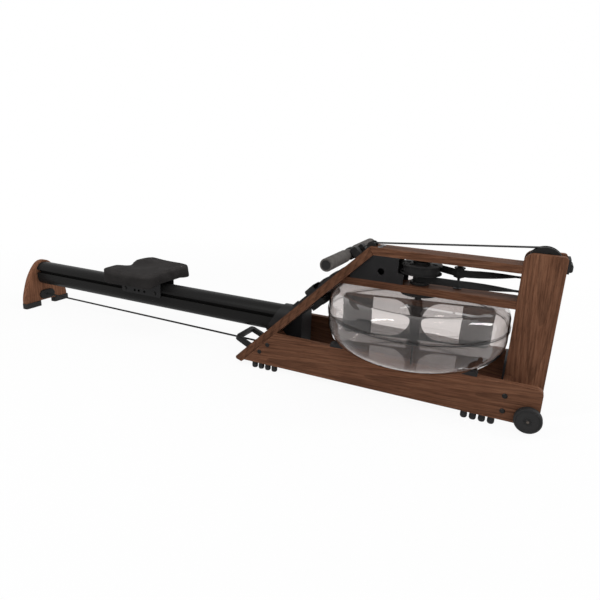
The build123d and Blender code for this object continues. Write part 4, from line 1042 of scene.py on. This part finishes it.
class ROWER_OT_stage(bpy.types.Operator):
    """Sets the floor, the soft lights and the camera"""

    bl_idname = "rower.stage"
    bl_label = "Stage"

    def execute(self, context):
        scene = context.scene
        self.floor()
        self.lights()
        self.world(scene)
        self.camera(scene)
        scene.view_settings.view_transform = "Standard"
        return {"FINISHED"}

    def seen(self, tree):
        """1 for rays of the camera, mirrors and clear plastic, else 0."""
        path = tree.nodes.new("ShaderNodeLightPath")
        first = arith(tree, "MAXIMUM", path.outputs["Is Camera Ray"], path.outputs["Is Glossy Ray"])
        return arith(tree, "MAXIMUM", first, path.outputs["Is Transmission Ray"])

    def floor(self):
        deselect()
        bpy.ops.mesh.primitive_plane_add(size=24.0, location=(0, 0, 0))
        floor = bpy.context.object
        floor.name = "floor"
        material = bpy.data.materials.new("pale floor")
        material.use_nodes = True
        tree = material.node_tree
        surface = tree.nodes["Principled BSDF"]
        surface.inputs["Base Color"].default_value = (0.75, 0.75, 0.75, 1.0)
        surface.inputs["Roughness"].default_value = 0.9
        glow = tree.nodes.new("ShaderNodeEmission")
        both = tree.nodes.new("ShaderNodeMixShader")
        reach = tree.nodes.new("ShaderNodeVectorMath")
        reach.operation = "LENGTH"
        tree.links.new(tree.nodes.new("ShaderNodeTexCoord").outputs["Object"], reach.inputs[0])
        near_share = 0.93
        fade_from = 1.1
        fade_to = 2.4
        white = spread(tree, reach.outputs["Value"], near_share, 1.0)
        white.node.inputs["From Min"].default_value = fade_from
        white.node.inputs["From Max"].default_value = fade_to
        share = arith(tree, "MULTIPLY", self.seen(tree), white)
        tree.links.new(share, both.inputs["Fac"])
        tree.links.new(surface.outputs["BSDF"], both.inputs[1])
        tree.links.new(glow.outputs["Emission"], both.inputs[2])
        tree.links.new(both.outputs["Shader"], tree.nodes["Material Output"].inputs["Surface"])
        floor.data.materials.append(material)

    def lights(self):
        """Two soft boxes: place and target in metres, width, height and power in watts."""
        lamps = (
            ("left box", (-0.64, -1.52, 2.07), (0.6, -0.25, 0.29), 0.22, 2.4, 27.0),
            ("right box", (2.67, 0.76, 1.76), (0.86, -0.16, 0.29), 0.45, 1.5, 26.0),
        )
        for name, place, target, wide, high, power in lamps:
            data = bpy.data.lights.new(name, "AREA")
            data.shape = "RECTANGLE"
            data.size = wide
            data.size_y = high
            data.energy = power
            lamp = bpy.data.objects.new(name, data)
            lamp.location = place
            lamp.rotation_euler = (Vector(target) - Vector(place)).to_track_quat("-Z", "Y").to_euler()
            bpy.context.scene.collection.objects.link(lamp)

    def world(self, scene):
        world = bpy.data.worlds.new("white room")
        scene.world = world
        world.use_nodes = True
        tree = world.node_tree
        back = tree.nodes["Background"]
        back.inputs["Color"].default_value = (1.0, 1.0, 1.0, 1.0)
        way = tree.nodes.new("ShaderNodeVectorMath")
        way.operation = "DOT_PRODUCT"
        way.inputs[1].default_value = Vector((0.78, -0.36, 0.52)).normalized()
        tree.links.new(tree.nodes.new("ShaderNodeTexCoord").outputs["Generated"], way.inputs[0])
        dim_side = 0.22
        bright_side = 1.5
        room = spread(tree, way.outputs["Value"], dim_side, bright_side)
        seen = self.seen(tree)
        unseen = arith(tree, "MULTIPLY", room, arith(tree, "SUBTRACT", 1.0, seen))
        tree.links.new(arith(tree, "ADD", seen, unseen), back.inputs["Strength"])

    def camera(self, scene):
        data = bpy.data.cameras.new("camera")
        data.lens = 30.297
        data.sensor_width = 36.0
        data.clip_end = 100.0
        cam = bpy.data.objects.new("camera", data)
        yaw = math.radians(24.27)
        pitch = math.radians(16.61)
        roll = math.radians(2.48)
        right = Vector((math.cos(yaw), math.sin(yaw), 0))
        ahead = Vector((-math.sin(yaw), math.cos(yaw), 0))
        up = Vector((0, 0, 1))
        forward = ahead * math.cos(pitch) - up * math.sin(pitch)
        above = ahead * math.sin(pitch) + up * math.cos(pitch)
        x_axis = right * math.cos(roll) + above * math.sin(roll)
        y_axis = above * math.cos(roll) - right * math.sin(roll)
        turn = Matrix((x_axis, y_axis, -forward)).transposed().to_4x4()
        place = (0.93751, -1.54133, 0.72826)
        cam.matrix_world = Matrix.Translation(place) @ turn
        scene.collection.objects.link(cam)
        scene.camera = cam


class ROWER_PT_panel(bpy.types.Panel):
    """Lists the steps that finish the rowing machine"""

    bl_label = "Rowing machine"
    bl_idname = "ROWER_PT_panel"
    bl_space_type = "VIEW_3D"
    bl_region_type = "UI"
    bl_category = "Rower"

    def draw(self, context):
        layout = self.layout
        for step in STEPS:
            layout.operator(step.bl_idname)
        for group in (context.scene.rower_finishes, context.scene.rower_sizes):
            for name in group.bl_rna.properties.keys():
                if name not in ("rna_type", "name"):
                    layout.prop(group, name)


STEPS = (
    ROWER_OT_boards,
    ROWER_OT_dark_finishes,
    ROWER_OT_tank,
    ROWER_OT_seat,
    ROWER_OT_grips,
    ROWER_OT_fasteners,
    ROWER_OT_grab_handle,
    ROWER_OT_straps,
    ROWER_OT_shock_cord,
    ROWER_OT_foot_straps,
    ROWER_OT_stage,
)
CLASSES = (RowerFinishes, RowerSizes, *STEPS, ROWER_PT_panel)


def register():
    for item in CLASSES:
        bpy.utils.register_class(item)
    bpy.types.Scene.rower_finishes = bpy.props.PointerProperty(type=RowerFinishes)
    bpy.types.Scene.rower_sizes = bpy.props.PointerProperty(type=RowerSizes)


def unregister():
    del bpy.types.Scene.rower_sizes
    del bpy.types.Scene.rower_finishes
    for item in reversed(CLASSES):
        bpy.utils.unregister_class(item)


def main():
    register()
    bpy.ops.rower.boards()
    bpy.ops.rower.dark_finishes()
    bpy.ops.rower.tank()
    bpy.ops.rower.seat()
    bpy.ops.rower.grips()
    bpy.ops.rower.fasteners()
    bpy.ops.rower.grab_handle()
    bpy.ops.rower.straps()
    bpy.ops.rower.shock_cord()
    bpy.ops.rower.foot_straps()
    bpy.ops.rower.stage()


if __name__ == "__main__":
    main()
